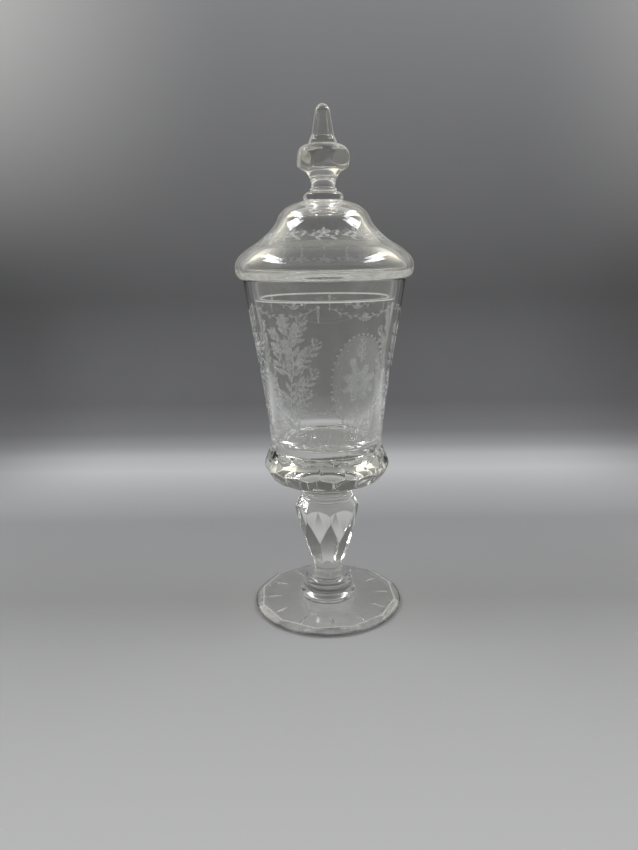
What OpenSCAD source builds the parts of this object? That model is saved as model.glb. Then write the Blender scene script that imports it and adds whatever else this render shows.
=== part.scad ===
// Covered glass goblet: cut foot, baluster stem, conical bowl and a domed cover with a finial.
// Millimetres, +Z up. The origin is the middle of the foot's resting face.
// Each gather of glass is a turned solid that meets the next one on a flat joint.

/* [Foot] */
// Diameter of the foot plate
foot_d = 98.8; // [84:0.2:120]
// Height of the upright edge of the foot, in the middle of a flat
foot_edge_h = 1.5; // [1.2:0.1:4]
// Chamfer under that edge
foot_chamfer = 0.6; // [0.2:0.1:1]
// Width of the flats that bevel the edge, seen from above
foot_bevel_w = 4.8; // [2:0.1:8]
// Height of those flats
foot_bevel_h = 2.4; // [1:0.1:4]
// Rise of the foot's top from the flats to the button
foot_rise = 1.3; // [0.4:0.1:4]
// Number of flats round the edge, and of rays cut under the foot
foot_ray_count = 12; // [8:1:24]
// Length of one ray
foot_ray_len = 10; // [4:0.5:14]
// Width of one ray
foot_ray_w = 1.8; // [0.6:0.1:3]
// Depth of one ray
foot_ray_depth = 0.6; // [0.2:0.1:1]
// Distance from the flats to the outer end of a ray
foot_ray_inset = 3; // [1:0.5:8]

/* [Foot button] */
// Diameter of the lower ring of the button
ring_d = 37.4; // [34:0.2:44]
// Height of the lower ring
ring_h = 4.8; // [3:0.1:8]
// Diameter of the upper knob of the button
knob_d = 33.2; // [30:0.2:36]
// Height of the upper knob
knob_h = 10.6; // [7:0.1:16]
// Height of the knob's widest line above the ring
knob_belly_z = 3.7; // [2:0.1:5]
// Depth of the groove between the knob and the ring, measured from the knob
button_groove = 1.1; // [0.4:0.1:2]

/* [Stem] */
// Height of the baluster
stem_h = 54.9; // [50:0.5:70]
// Diameter of its lower end
stem_foot_d = 18.6; // [17:0.2:21]
// Diameter of its shoulder
stem_shoulder_d = 43.4; // [41:0.2:47]
// Height of the shoulder above the lower end
stem_shoulder_z = 43.8; // [41:0.2:46]
// Number of long panels, and of shoulder facets
stem_panel_count = 8; // [6:1:12]
// Height of the round neck under the long panels
stem_neck_h = 9; // [6:0.2:12]
// Widening of that neck from its lower to its upper end, in radius
stem_neck_draft = 0.3; // [0.1:0.1:0.8]
// Height at which a long panel runs out on the shoulder
stem_panel_top_z = 46.2; // [44:0.2:48]
// Depth that a shoulder facet cuts into the stem
stem_facet_depth = 3; // [2.4:0.05:3.4]
// Distance from the shoulder down to the middle of its facets
stem_facet_drop = 3; // [1:0.2:5]
// Angle at which the shoulder facets look down
stem_facet_tilt = 8; // [4:0.5:12]

/* [Stem collar] */
// Diameter of the collar between stem and calyx
collar_d = 35.4; // [33:0.2:40]
// Height of the collar
collar_h = 4; // [2.4:0.1:8]
// Depth of the groove between its two beads
collar_groove = 0.7; // [0.3:0.05:1.2]

/* [Calyx] */
// Height of the facet-cut calyx under the bowl
calyx_h = 31.5; // [27:0.5:38]
// Diameter of its belly
calyx_belly_d = 81.6; // [78:0.2:88]
// Height of the belly above the calyx's foot
calyx_belly_z = 18.9; // [17:0.1:21]
// Diameter where its short neck turns out into the underside
calyx_knee_d = 38.8; // [37.6:0.2:44]
// Height of that neck
calyx_neck_h = 5.1; // [3:0.1:6]
// Diameter of its upper edge, where the bowl begins
calyx_top_d = 72.6; // [70:0.2:75]
// Number of facets in each row
calyx_facet_count = 16; // [12:1:24]
// Depth that the facets cut into the calyx
calyx_facet_depth = 0.7; // [0.3:0.05:0.9]

/* [Bowl] */
// Height of the bowl above the calyx
bowl_h = 105.5; // [80:0.5:130]
// Outer diameter of the rim
rim_d = 99.2; // [92:0.2:110]
// Wall at the rim
rim_wall = 4; // [3:0.1:5]
// Chamfer on the rim's edges
rim_chamfer = 0.6; // [0.2:0.1:1]
// Step from the calyx's upper edge in to the bowl
crease = 0.7; // [0.2:0.1:2]
// Wall of the bowl at the calyx
base_wall = 8.4; // [6:0.2:14]
// Glass between the calyx and the floor of the cavity
bowl_floor = 1.8; // [1.2:0.1:6]
// Radius of the round at the edge of that floor
cavity_round = 7.5; // [4:0.1:9]

/* [Cover] */
// Height of the cover from the rim to the finial
cover_h = 44.8; // [40:0.2:56]
// Overhang of the lip beyond the rim
lip_overhang = 4.7; // [3:0.1:7]
// Overhang of the flat underside beyond the rim
lip_seat = 1.1; // [0.6:0.1:2]
// Height of the lip's widest line above the rim
lip_z = 6.6; // [5.6:0.2:8]
// Distance from the lip's widest line in to the flare
flare_in = 11.3; // [9:0.1:14]
// Height of the flare above the rim
flare_z = 20; // [17:0.2:22]
// Diameter of the dome's shoulder
dome_d = 55.2; // [50:0.2:60]
// Height of the dome's shoulder above the rim
dome_z = 35.4; // [32:0.2:37]
// Wall of the cover
cover_wall = 5.2; // [3.6:0.1:6]
// Glass under the hollow of the flare
cover_web = 4.2; // [3:0.1:4.8]
// Width of the rounded ledge between that hollow and the flange
cover_ledge = 1.6; // [1:0.1:3]
// Depth of the flange that drops inside the rim
flange_depth = 12; // [6:0.5:20]
// Wall of the flange
flange_wall = 3.2; // [2:0.1:4]
// Gap all round between the flange and the bowl
flange_gap = 0.4; // [0.3:0.05:1]

/* [Finial] */
// Height of the button on the dome
finial_button_h = 5.6; // [4.4:0.1:9]
// Diameter of the button
finial_button_d = 24; // [22:0.2:28]
// Height of the button's widest line above the dome
finial_button_belly_z = 2.4; // [1.6:0.1:3]
// Height of the neck
neck_h = 11.8; // [9:0.1:16]
// Diameter of the bead at the foot of the neck
neck_bead_d = 16; // [15:0.1:18]
// Height of that bead
neck_bead_h = 2.2; // [1.4:0.1:3.4]
// Smallest diameter of the neck
neck_d = 14.2; // [12.6:0.1:14.8]
// Diameter of the neck's upper end
neck_top_d = 22.4; // [19:0.2:25]
// Height of the knop
knop_h = 14.2; // [12:0.1:18]
// Diameter of the knop
knop_d = 32.6; // [30:0.2:38]
// Height of the knop's widest line above the neck
knop_belly_z = 5.8; // [4.6:0.1:7]
// Number of flats on the knop
knop_flat_count = 6; // [5:1:8]
// Depth that a flat cuts into the knop
knop_flat_depth = 1.9; // [0.6:0.1:2.2]
// Height of the spire
spire_h = 22.1; // [18:0.1:32]
// Diameter of the spire's round foot
spire_foot_d = 16.4; // [15:0.2:18]
// Height of that foot
spire_foot_h = 1.2; // [0.6:0.1:2]
// Number of sides of the spire
spire_side_count = 6; // [5:1:8]
// Height of the flare between the foot and the sides
spire_flare_h = 4.2; // [3:0.1:6]
// Width across the sides above the flare
spire_low_w = 13; // [11:0.1:13.8]
// Width across the sides below the point
spire_high_w = 9.2; // [7:0.1:10]
// Height of the point
spire_point_h = 5.9; // [4:0.1:9]
// Diameter of the blunt tip
spire_tip_d = 1.8; // [1:0.1:2.4]

/* [Hidden] */
$fn = 96;
// Segments along one curved stretch of an outline
curve_steps = 8;
// Half the length of a straight cut, and how far a cutting block passes the glass
cut_reach = 16;
cut_margin = 1;
// Flat margin round a joint, on the wider of the two pieces
joint_step = 0.5;
// Clear glass with a faint warm tinge, and the paler tone of the cut parts
clear_glass = [0.80, 0.83, 0.80, 0.55];
cut_glass = [0.90, 0.92, 0.87, 0.65];

// Levels of the flat joints, from the foot up
foot_h = foot_edge_h + foot_bevel_h + foot_rise;
z_stem = foot_h + ring_h + knob_h;
z_collar = z_stem + stem_h;
z_calyx = z_collar + collar_h;
z_bowl = z_calyx + calyx_h;
z_rim = z_bowl + bowl_h;
z_finial = z_rim + cover_h;
z_neck = z_finial + finial_button_h;
z_knop = z_neck + neck_h;
z_spire = z_knop + knop_h;

// A point part of the way from a to d, by one share along the radius and one along the height
function part_way(a, d, share) = a + [share[0] * (d[0] - a[0]), share[1] * (d[1] - a[1])];
// One smooth stretch of outline from a to d, drawn towards b and c
function curve(a, b, c, d) = [
    for (i = [0:curve_steps])
        let (t = i / curve_steps, s = 1 - t)
        s * s * s * a + 3 * s * s * t * b + 3 * s * t * t * c + t * t * t * d
];
// The same, drawn towards two points that lie part of the way from a to d
function bend(a, d, b_share, c_share) = curve(a, part_way(a, d, b_share), part_way(a, d, c_share), d);
// The point at the height z on the line through a and b
function at_height(a, b, z) = a + (z - a[1]) / (b[1] - a[1]) * (b - a);
// An outline without its first point, to follow a stretch that ends there
function onward(line) = [for (i = [1:len(line) - 1]) line[i]];
// An outline moved inwards by a wall
function inside_of(line, wall) = [
    for (i = [0:len(line) - 1])
        let (
            before = line[max(i - 1, 0)],
            after = line[min(i + 1, len(line) - 1)],
            along = (after - before) / norm(after - before)
        )
        line[i] + wall * [-along[1], along[0]]
];

// A solid turned from an outline of radius and height, standing at the level z
module turned(outline, z) {
    last = len(outline) - 1;
    translate([0, 0, z])
        rotate_extrude()
            polygon(concat([[0, outline[0][1]]], outline, [[0, outline[last][1]]]));
}

// A ring of prisms that cut flats into a piece of radius r: each takes the glass outside an outline
// of radius and height, as wide as its share of the round
module flats(count, turn, outline, r, z) {
    last = len(outline) - 1;
    far = max([for (p = outline) p[0]]) + cut_margin;
    width = 2 * (r + cut_margin) * tan(180 / count);
    for (i = [0:count - 1])
        translate([0, 0, z])
            rotate([90, 0, turn + i * 360 / count])
                linear_extrude(width, center = true)
                    polygon(concat(outline, [[far, outline[last][1]], [far, outline[0][1]]]));
}

// A straight cut through the point p, looking up by tilt, long enough to leave the glass at both ends
function cut_line(p, tilt, reach = cut_reach) = [
    p - reach * [-sin(tilt), cos(tilt)],
    p + reach * [-sin(tilt), cos(tilt)]
];

// Foot plate
foot_r = foot_d / 2;
foot_bevel_r = foot_r - foot_bevel_w;
foot_bevel_tilt = atan2(foot_bevel_w, foot_bevel_h);
// One ray lies just right of the front
foot_ray_turn = -86;

module foot_rays() {
    half_w = foot_ray_w / 2;
    for (i = [0:foot_ray_count - 1])
        rotate([0, 0, foot_ray_turn + i * 360 / foot_ray_count])
            translate([foot_bevel_r - foot_ray_inset - foot_ray_len, 0, 0])
                rotate([90, 0, 90])
                    linear_extrude(foot_ray_len)
                        polygon([
                            [-half_w, -cut_margin],
                            [half_w, -cut_margin],
                            [half_w, 0],
                            [0, foot_ray_depth],
                            [-half_w, 0]
                        ]);
}

module foot_plate() {
    color(clear_glass)
        difference() {
            turned([
                [foot_r - foot_chamfer, 0],
                [foot_r, foot_chamfer],
                [foot_r, foot_edge_h + foot_bevel_h],
                [ring_d / 2 + joint_step, foot_h]
            ], 0);
            flats(
                foot_ray_count,
                foot_ray_turn,
                cut_line([foot_r, foot_edge_h], foot_bevel_tilt),
                foot_r,
                0
            );
            foot_rays();
        }
}

// Foot button: a low ring, a groove and a domed knob
ring_r = ring_d / 2;
knob_r = knob_d / 2;
knob_top_r = stem_foot_d / 2 + joint_step;

module foot_button() {
    foot = [ring_r - joint_step, 0];
    ring_belly = [ring_r, ring_h / 2];
    groove = [knob_r - button_groove, ring_h];
    knob_belly = [knob_r, ring_h + knob_belly_z];
    top = [knob_top_r, ring_h + knob_h];
    color(clear_glass)
        turned(concat(
            bend(foot, ring_belly, [1, 0.4], [1, 0.6]),
            onward(bend(ring_belly, groove, [0, 0.6], [0.66, 0.8])),
            onward(bend(groove, knob_belly, [1, 0.15], [1, 0.6])),
            onward(bend(knob_belly, top, [0, 0.6], [0.3, 1]))
        ), foot_h);
}

// Stem: an inverted baluster with a round neck, long panels and a row of shoulder facets
stem_foot_r = stem_foot_d / 2;
stem_shoulder_r = stem_shoulder_d / 2;
stem_top_r = collar_d / 2 - joint_step;
// A panel faces just right of the front, and the shoulder facets stand half a pitch away
stem_turn = -84.5;
stem_half_pitch = 180 / stem_panel_count;
stem_neck_end = [stem_foot_r + stem_neck_draft, stem_neck_h];
// The neck runs on inside the panels
stem_neck_run = stem_neck_h / 2;
stem_panel_end = [stem_shoulder_r, stem_panel_top_z];
stem_facet_middle = [stem_shoulder_r - stem_facet_depth, stem_shoulder_z - stem_facet_drop];

module stem_baluster() {
    foot = [stem_foot_r, 0];
    shoulder = [stem_shoulder_r, stem_shoulder_z];
    top = [stem_top_r, stem_h];
    outline = concat(
        bend(foot, shoulder, [0.09, 0.37], [0.88, 0.55]),
        onward(bend(shoulder, top, [0, 0.5], [0.64, 0.86]))
    );
    panel = [at_height(stem_neck_end, stem_panel_end, -cut_margin), stem_panel_end];
    color(cut_glass) {
        difference() {
            turned(outline, z_stem);
            flats(stem_panel_count, stem_turn, panel, stem_shoulder_r, z_stem);
            flats(
                stem_panel_count,
                stem_turn + stem_half_pitch,
                cut_line(stem_facet_middle, -stem_facet_tilt),
                stem_shoulder_r,
                z_stem
            );
        }
        turned([foot, at_height(foot, stem_neck_end, stem_neck_h + stem_neck_run)], z_stem);
    }
}

// Collar: two fine beads
collar_r = collar_d / 2;

module stem_collar() {
    bead = collar_h / 2;
    waist = [collar_r - collar_groove, bead];
    foot = [collar_r - joint_step, 0];
    top = [collar_r - joint_step, collar_h];
    low_bead = curve(foot, [collar_r, 0.2 * bead], [collar_r, 0.8 * bead], waist);
    high_bead = curve(waist, [collar_r, 1.2 * bead], [collar_r, 1.8 * bead], top);
    color(clear_glass)
        turned(concat(low_bead, onward(high_bead)), z_collar);
}

// Calyx: a short neck and a bulging ring with three rows of facets
calyx_foot_r = collar_r - 2 * joint_step;
calyx_belly_r = calyx_belly_d / 2;
calyx_top_r = calyx_top_d / 2;
calyx_half_pitch = 180 / calyx_facet_count;
// A facet of the upper row faces just right of the front
calyx_turn = -85;
// Half the length of its cuts, short of the neck
calyx_cut_reach = 12;

module bowl_calyx() {
    belly = [calyx_belly_r, calyx_belly_z];
    top = [calyx_top_r, calyx_h];
    foot = [calyx_foot_r, 0];
    knee = [calyx_knee_d / 2, calyx_neck_h];
    neck = bend(foot, knee, [0.05, 0.5], [0.4, 0.9]);
    under = bend(knee, belly, [0.64, 0.18], [0.84, 0.43]);
    over = bend(belly, top, [0, 0.35], [0.7, 0.63]);
    // The rows of facets lie along these stretches of the round
    middle = curve_steps / 2;
    high_end = over[middle];
    low_end = under[middle + 2];
    bottom_end = under[middle - 1];
    high_tilt = lean(belly, top);
    low_tilt = lean(low_end, belly);
    bottom_tilt = lean(under[middle - 3], under[middle + 1]);
    color(cut_glass)
        difference() {
            turned(concat(neck, onward(under), onward(over)), z_calyx);
            calyx_facets(calyx_turn, facet_cut(high_end, high_tilt));
            calyx_facets(calyx_turn + calyx_half_pitch, facet_cut(low_end, low_tilt));
            calyx_facets(calyx_turn, facet_cut(bottom_end, bottom_tilt));
        }
}

// How far the side from a up to b looks up
function lean(a, b) = atan2(a[0] - b[0], b[1] - a[1]);
// The line of a calyx facet, sunk below the point p of the round
function facet_cut(p, tilt) =
    cut_line(p - calyx_facet_depth * [cos(tilt), sin(tilt)], tilt, calyx_cut_reach);

module calyx_facets(turn, outline) {
    flats(calyx_facet_count, turn, outline, calyx_belly_r, z_calyx);
}

// Bowl: a thick wall with a straight conical cavity
rim_r = rim_d / 2;
bowl_base_r = calyx_top_r - crease;
cavity_rim_r = rim_r - rim_wall;
cavity_base_r = bowl_base_r - base_wall;
cavity_slope = (cavity_rim_r - cavity_base_r) / bowl_h;
// Radius of the cavity at a height above the calyx
function cavity_r(h) = cavity_base_r + cavity_slope * h;

module bowl() {
    foot = [bowl_base_r, 0];
    rim = [rim_r, bowl_h - rim_chamfer];
    round_r = cavity_r(bowl_floor + cavity_round);
    floor_edge = [round_r - cavity_round, bowl_floor];
    wall_foot = [round_r, bowl_floor + cavity_round];
    rim_in = [cavity_rim_r + rim_chamfer, bowl_h];
    color(clear_glass)
        difference() {
            turned(concat(
                bend(foot, rim, [0.07, 0.27], [0.59, 0.62]),
                [[rim_r - rim_chamfer, bowl_h]]
            ), z_bowl);
            turned(concat(
                bend(floor_edge, wall_foot, [0.6, 0], [0.9, 0.4]),
                [[cavity_r(bowl_h - rim_chamfer), bowl_h - rim_chamfer], rim_in, rim_in + [0, cut_margin]]
            ), z_bowl);
        }
}

// Cover flange: a sleeve that follows the taper of the cavity inside and out
// Outer radius of the flange at a height above the rim
function flange_r(h) = cavity_r(bowl_h + h) - flange_gap;
// Radius of its bore at that height
function flange_bore_r(h) = flange_r(h) - flange_wall;

module cover_flange() {
    color(clear_glass)
        difference() {
            turned([for (h = [-flange_depth, 0]) [flange_r(h), h]], z_rim);
            turned([for (h = [-flange_depth - cut_margin, cut_margin]) [flange_bore_r(h), h]], z_rim);
        }
}

// Cover: a rounded lip, a hollow flare and a dome
lip_r = rim_r + lip_overhang;
dome_top_r = finial_button_d / 2 + joint_step;

module cover_dome() {
    foot = [rim_r + lip_seat, 0];
    lip = [lip_r, lip_z];
    flare = [lip_r - flare_in, flare_z];
    shoulder = [dome_d / 2, dome_z];
    top = [dome_top_r, cover_h];
    above_lip = concat(
        bend(lip, flare, [0, 0.44], [0.47, 0.75]),
        onward(bend(flare, shoulder, [0.39, 0.22], [0.86, 0.64])),
        onward(bend(shoulder, top, [0.12, 0.48], [0.47, 0.87]))
    );
    hollow = inside_of(above_lip, cover_wall);
    bore_r = flange_bore_r(0);
    ledge_foot = [bore_r, cover_web / 7];
    ledge = [bore_r + cover_ledge, cover_web];
    color(clear_glass)
        difference() {
            turned(concat(bend(foot, lip, [0.72, 0.1], [1, 0.5]), onward(above_lip)), z_rim);
            turned(concat(
                [[bore_r, -cut_margin]],
                bend(ledge_foot, ledge, [0, 0.7], [0.3, 1]),
                onward(bend(ledge, hollow[0], [0.65, 0], [1, 0.3])),
                onward(hollow)
            ), z_rim);
        }
}

// Finial button: a flattened ball
neck_bead_r = neck_bead_d / 2;

module finial_button() {
    r = finial_button_d / 2;
    foot = [r - joint_step, 0];
    belly = [r, finial_button_belly_z];
    top = [neck_bead_r + joint_step, finial_button_h];
    color(clear_glass)
        turned(concat(
            bend(foot, belly, [0.6, 0.1], [1, 0.5]),
            onward(bend(belly, top, [0, 0.57], [0.54, 0.97]))
        ), z_finial);
}

// Finial neck: a bead and a widening waist
module finial_neck() {
    foot = [neck_bead_r - joint_step, 0];
    bead = [neck_bead_r, neck_bead_h / 2];
    waist = [neck_d / 2, neck_bead_h];
    top = [neck_top_d / 2, neck_h];
    color(clear_glass)
        turned(concat(
            bend(foot, bead, [0.8, 0.2], [1, 0.6]),
            onward(bend(bead, waist, [0, 0.5], [0.4, 1])),
            onward(bend(waist, top, [0, 0.45], [0.4, 0.82]))
        ), z_neck);
}

// Finial knop: a cushion with large flats, one of which faces left of the front and looks up a little
knop_turn = -109;
knop_tilt = 4;

module finial_knop() {
    r = knop_d / 2;
    foot = [neck_top_d / 2 + joint_step, 0];
    belly = [r, knop_belly_z];
    top = [spire_foot_d / 2 + joint_step, knop_h];
    color(cut_glass)
        difference() {
            turned(concat(
                bend(foot, belly, [0.6, 0.1], [1, 0.5]),
                onward(bend(belly, top, [0, 0.6], [0.5, 1]))
            ), z_knop);
            flats(
                knop_flat_count,
                knop_turn,
                cut_line([r - knop_flat_depth, knop_belly_z], knop_tilt),
                r,
                z_knop
            );
        }
}

// Finial spire: a flared round foot, long sides and a blunt point
spire_foot_r = spire_foot_d / 2;
spire_tip_r = spire_tip_d / 2;
spire_point_z = spire_h - spire_point_h;
// Radius of the eased edges for a width across the sides
spire_ease = 0.97;
function spire_edge_r(width) = spire_ease * width / 2 / cos(180 / spire_side_count);
// Rise of the eased edges' bends above those of the sides
spire_edge_rise = 0.5;
// An edge of the spire faces the front
spire_turn = 180 / spire_side_count - 90;

module finial_spire() {
    foot = [spire_foot_r, 0];
    foot_top = [spire_foot_r, spire_foot_h];
    flare = [spire_edge_r(spire_low_w), spire_flare_h + spire_edge_rise];
    point = [spire_edge_r(spire_high_w), spire_point_z + spire_edge_rise];
    tip = [spire_tip_r, spire_h];
    side_low = [spire_low_w / 2, spire_flare_h];
    side_high = [spire_high_w / 2, spire_point_z];
    sides = [
        [spire_foot_r + joint_step, spire_foot_h],
        side_low,
        at_height(side_low, side_high, spire_h + cut_margin)
    ];
    color(cut_glass)
        difference() {
            turned(concat(
                [foot, foot_top, flare],
                bend(point, tip, [0.12, 0.42], [0.62, 0.95])
            ), z_spire);
            flats(spire_side_count, spire_turn, sides, spire_foot_r, z_spire);
        }
}

foot_plate();
foot_button();
stem_baluster();
stem_collar();
bowl_calyx();
bowl();
cover_flange();
cover_dome();
finial_button();
finial_neck();
finial_knop();
finial_spire();
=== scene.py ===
"""Looks of a covered glass goblet: clear glass, cut facets and frosted engraving in a grey studio."""

import logging
import math
from dataclasses import dataclass, field, replace
from enum import Enum
from typing import Any, Union

import bpy
import numpy as np
from mathutils import Matrix, Vector


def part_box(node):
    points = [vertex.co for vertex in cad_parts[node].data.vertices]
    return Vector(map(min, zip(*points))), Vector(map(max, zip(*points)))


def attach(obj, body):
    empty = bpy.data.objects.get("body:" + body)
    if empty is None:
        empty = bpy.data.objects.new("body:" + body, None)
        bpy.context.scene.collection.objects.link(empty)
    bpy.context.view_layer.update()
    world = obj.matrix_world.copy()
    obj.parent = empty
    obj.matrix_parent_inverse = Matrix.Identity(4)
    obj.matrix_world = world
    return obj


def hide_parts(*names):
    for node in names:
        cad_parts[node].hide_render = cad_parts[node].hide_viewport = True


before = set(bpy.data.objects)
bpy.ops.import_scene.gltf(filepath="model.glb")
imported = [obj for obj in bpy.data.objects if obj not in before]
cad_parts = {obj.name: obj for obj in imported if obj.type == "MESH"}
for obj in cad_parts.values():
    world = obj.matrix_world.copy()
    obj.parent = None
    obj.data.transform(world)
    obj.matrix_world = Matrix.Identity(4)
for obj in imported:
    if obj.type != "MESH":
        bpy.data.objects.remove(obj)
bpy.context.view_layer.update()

LOG = logging.getLogger("goblet")
MM = 0.001
EASE = 0.10  # how far a cut edge is polished down, in millimetres
SEAT = 0.05  # air between the cover's seat and the rim, in millimetres
BOUNCES = 24  # walls of glass that light can pass or mirror in
CLEAR_BOUNCES = 40  # frosted skins that light can pass straight through

Point = tuple[float, float]
Triple = tuple[float, float, float]
Colour = Triple
Line = np.ndarray
Span = Union[float, np.ndarray]


class Body(Enum):
    """The two bodies that pieces ride on."""

    GOBLET = "goblet"
    COVER = "cover"


class Slot(Enum):
    """The material slots."""

    CLEAR = "clear_glass"
    CUT = "cut_glass"


class Layer(Enum):
    """Which finish of a piece a band of its skin wears."""

    GLASS = 0
    JOINT = 1
    GROUND = 2
    SHADED_RIM = 3
    GLINT_LINE = 4


class Wire:
    """A shader socket that takes part in Python arithmetic."""

    def __init__(self, bench: "Bench", socket: bpy.types.NodeSocket) -> None:
        """Keeps the bench that the socket's node stands on."""
        self.bench = bench
        self.socket = socket

    def _math(self, operation: str, first: Any, second: Any) -> "Wire":
        """Adds one Math node for two values."""
        return self.bench.node("ShaderNodeMath", {"operation": operation}, {0: first, 1: second})

    def __add__(self, other: Any) -> "Wire":
        """Adds a value or a wire."""
        return self._math("ADD", self, other)

    def __radd__(self, other: Any) -> "Wire":
        """Adds to a value."""
        return self._math("ADD", other, self)

    def __sub__(self, other: Any) -> "Wire":
        """Takes a value or a wire away."""
        return self._math("SUBTRACT", self, other)

    def __rsub__(self, other: Any) -> "Wire":
        """Is taken away from a value."""
        return self._math("SUBTRACT", other, self)

    def __mul__(self, other: Any) -> "Wire":
        """Multiplies by a value or a wire."""
        return self._math("MULTIPLY", self, other)

    def __rmul__(self, other: Any) -> "Wire":
        """Multiplies a value."""
        return self._math("MULTIPLY", other, self)

    def __truediv__(self, other: Any) -> "Wire":
        """Is divided by a value or a wire."""
        return self._math("DIVIDE", self, other)

    def __rtruediv__(self, other: Any) -> "Wire":
        """Divides a value."""
        return self._math("DIVIDE", other, self)

    def at_least(self, other: Any) -> "Wire":
        """The larger of two values."""
        return self._math("MAXIMUM", self, other)

    def between(self, low: float, high: float) -> "Wire":
        """A mask from 0 at the low value to 1 at the high one, eased at both ends."""
        settings = {"interpolation_type": "SMOOTHSTEP"}
        return self.bench.node("ShaderNodeMapRange", settings, {"Value": self, 1: low, 2: high})


class Bench:
    """A node tree on which a finish is put together."""

    def __init__(self, tree: bpy.types.NodeTree) -> None:
        """Clears the tree's own nodes."""
        self.tree = tree
        self.tree.nodes.clear()

    def node(self, kind: str, settings: dict[str, Any] | None = None,
             sockets: dict[str | int, Any] | None = None, out: str | int = 0) -> Wire:
        """Adds any one node.

        Args:
            kind: The node's type.
            settings: Its own settings, which are set first. A ramp's stops are pairs of place and grey.
            sockets: Values or wires for its sockets, by name or number. Colours have three numbers.
            out: The output that is wanted.

        Returns:
            That output.
        """
        made = self.tree.nodes.new(kind)
        for name, value in (settings or {}).items():
            if name == "stops":
                self._set_stops(made.color_ramp, value)
            else:
                setattr(made, name, value)
        for name, value in (sockets or {}).items():
            socket = made.inputs[name]
            if isinstance(value, Wire):
                self.tree.links.new(value.socket, socket)
            else:
                socket.default_value = (*value, 1.0) if socket.type == "RGBA" else value
        return Wire(self, made.outputs[out] if len(made.outputs) else made.inputs[0])

    @staticmethod
    def _set_stops(ramp: bpy.types.ColorRamp, stops: list[Point]) -> None:
        """Sets a ramp's stops.

        Args:
            ramp: The ramp of the node.
            stops: Places from 0 to 1 with their greys, in order.
        """
        while len(ramp.elements) < len(stops):
            ramp.elements.new(1.0)
        for element, (place, tone) in zip(ramp.elements, stops):
            element.position = place
            element.color = (*grey(tone), 1.0)

    def places(self, stretch: Triple = (1.0, 1.0, 1.0)) -> Wire:
        """The place on the object in metres, stretched along each axis."""
        here = self.node("ShaderNodeTexCoord", out="Object")
        return self.node("ShaderNodeMapping", {}, {"Vector": here, "Scale": stretch})

    def axes(self, where: Wire) -> list[Wire]:
        """The coordinates of a place: across, back and up."""
        return [self.node("ShaderNodeSeparateXYZ", {}, {0: where}, out=axis) for axis in "XYZ"]

    def noise(self, scale: float, detail: float, stretch: Triple = (1.0, 1.0, 1.0)) -> Wire:
        """A soft noise from 0 to 1 over the object.

        Args:
            scale: Number of cells in a metre.
            detail: Octaves of finer noise.
            stretch: How much finer the cells are along each axis.

        Returns:
            The noise.
        """
        sockets = {"Vector": self.places(stretch), "Scale": scale, "Detail": detail}
        return self.node("ShaderNodeTexNoise", {}, sockets)

    def bump(self, height: Wire, strength: float, depth: float) -> Wire:
        """A normal that follows a height.

        Args:
            height: The height, from 0 to 1.
            strength: Share of it that shows.
            depth: Depth of the full height, in metres.

        Returns:
            The normal.
        """
        sockets = {"Strength": strength, "Distance": depth, "Height": height}
        return self.node("ShaderNodeBump", {}, sockets, out="Normal")

    def mix(self, share: Any, first: Any, second: Any) -> Wire:
        """A mix of two colours, with a share of the second."""
        return self.node("ShaderNodeMix", {"data_type": "RGBA"}, {0: share, 6: first, 7: second}, out=2)

    def blend(self, share: Any, first: Wire, second: Wire) -> Wire:
        """A blend of two shaders, with a share of the second."""
        return self.node("ShaderNodeMixShader", {}, {0: share, 1: first, 2: second})


def grey(tone: float) -> Colour:
    """A neutral colour."""
    return (tone, tone, tone)


@dataclass(frozen=True)
class Finish:
    """A surface that pieces wear, known by its name."""

    name: str

    def surface(self, bench: Bench) -> Wire:
        """Puts the finish's nodes on a bench and gives its shader."""
        raise NotImplementedError

    def make(self) -> bpy.types.Material:
        """Builds the material.

        Returns:
            The material.
        """
        material = bpy.data.materials.new(self.name)
        material.use_nodes = True
        bench = Bench(material.node_tree)
        bench.node("ShaderNodeOutputMaterial", {}, {"Surface": self.surface(bench)})
        return material


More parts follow.
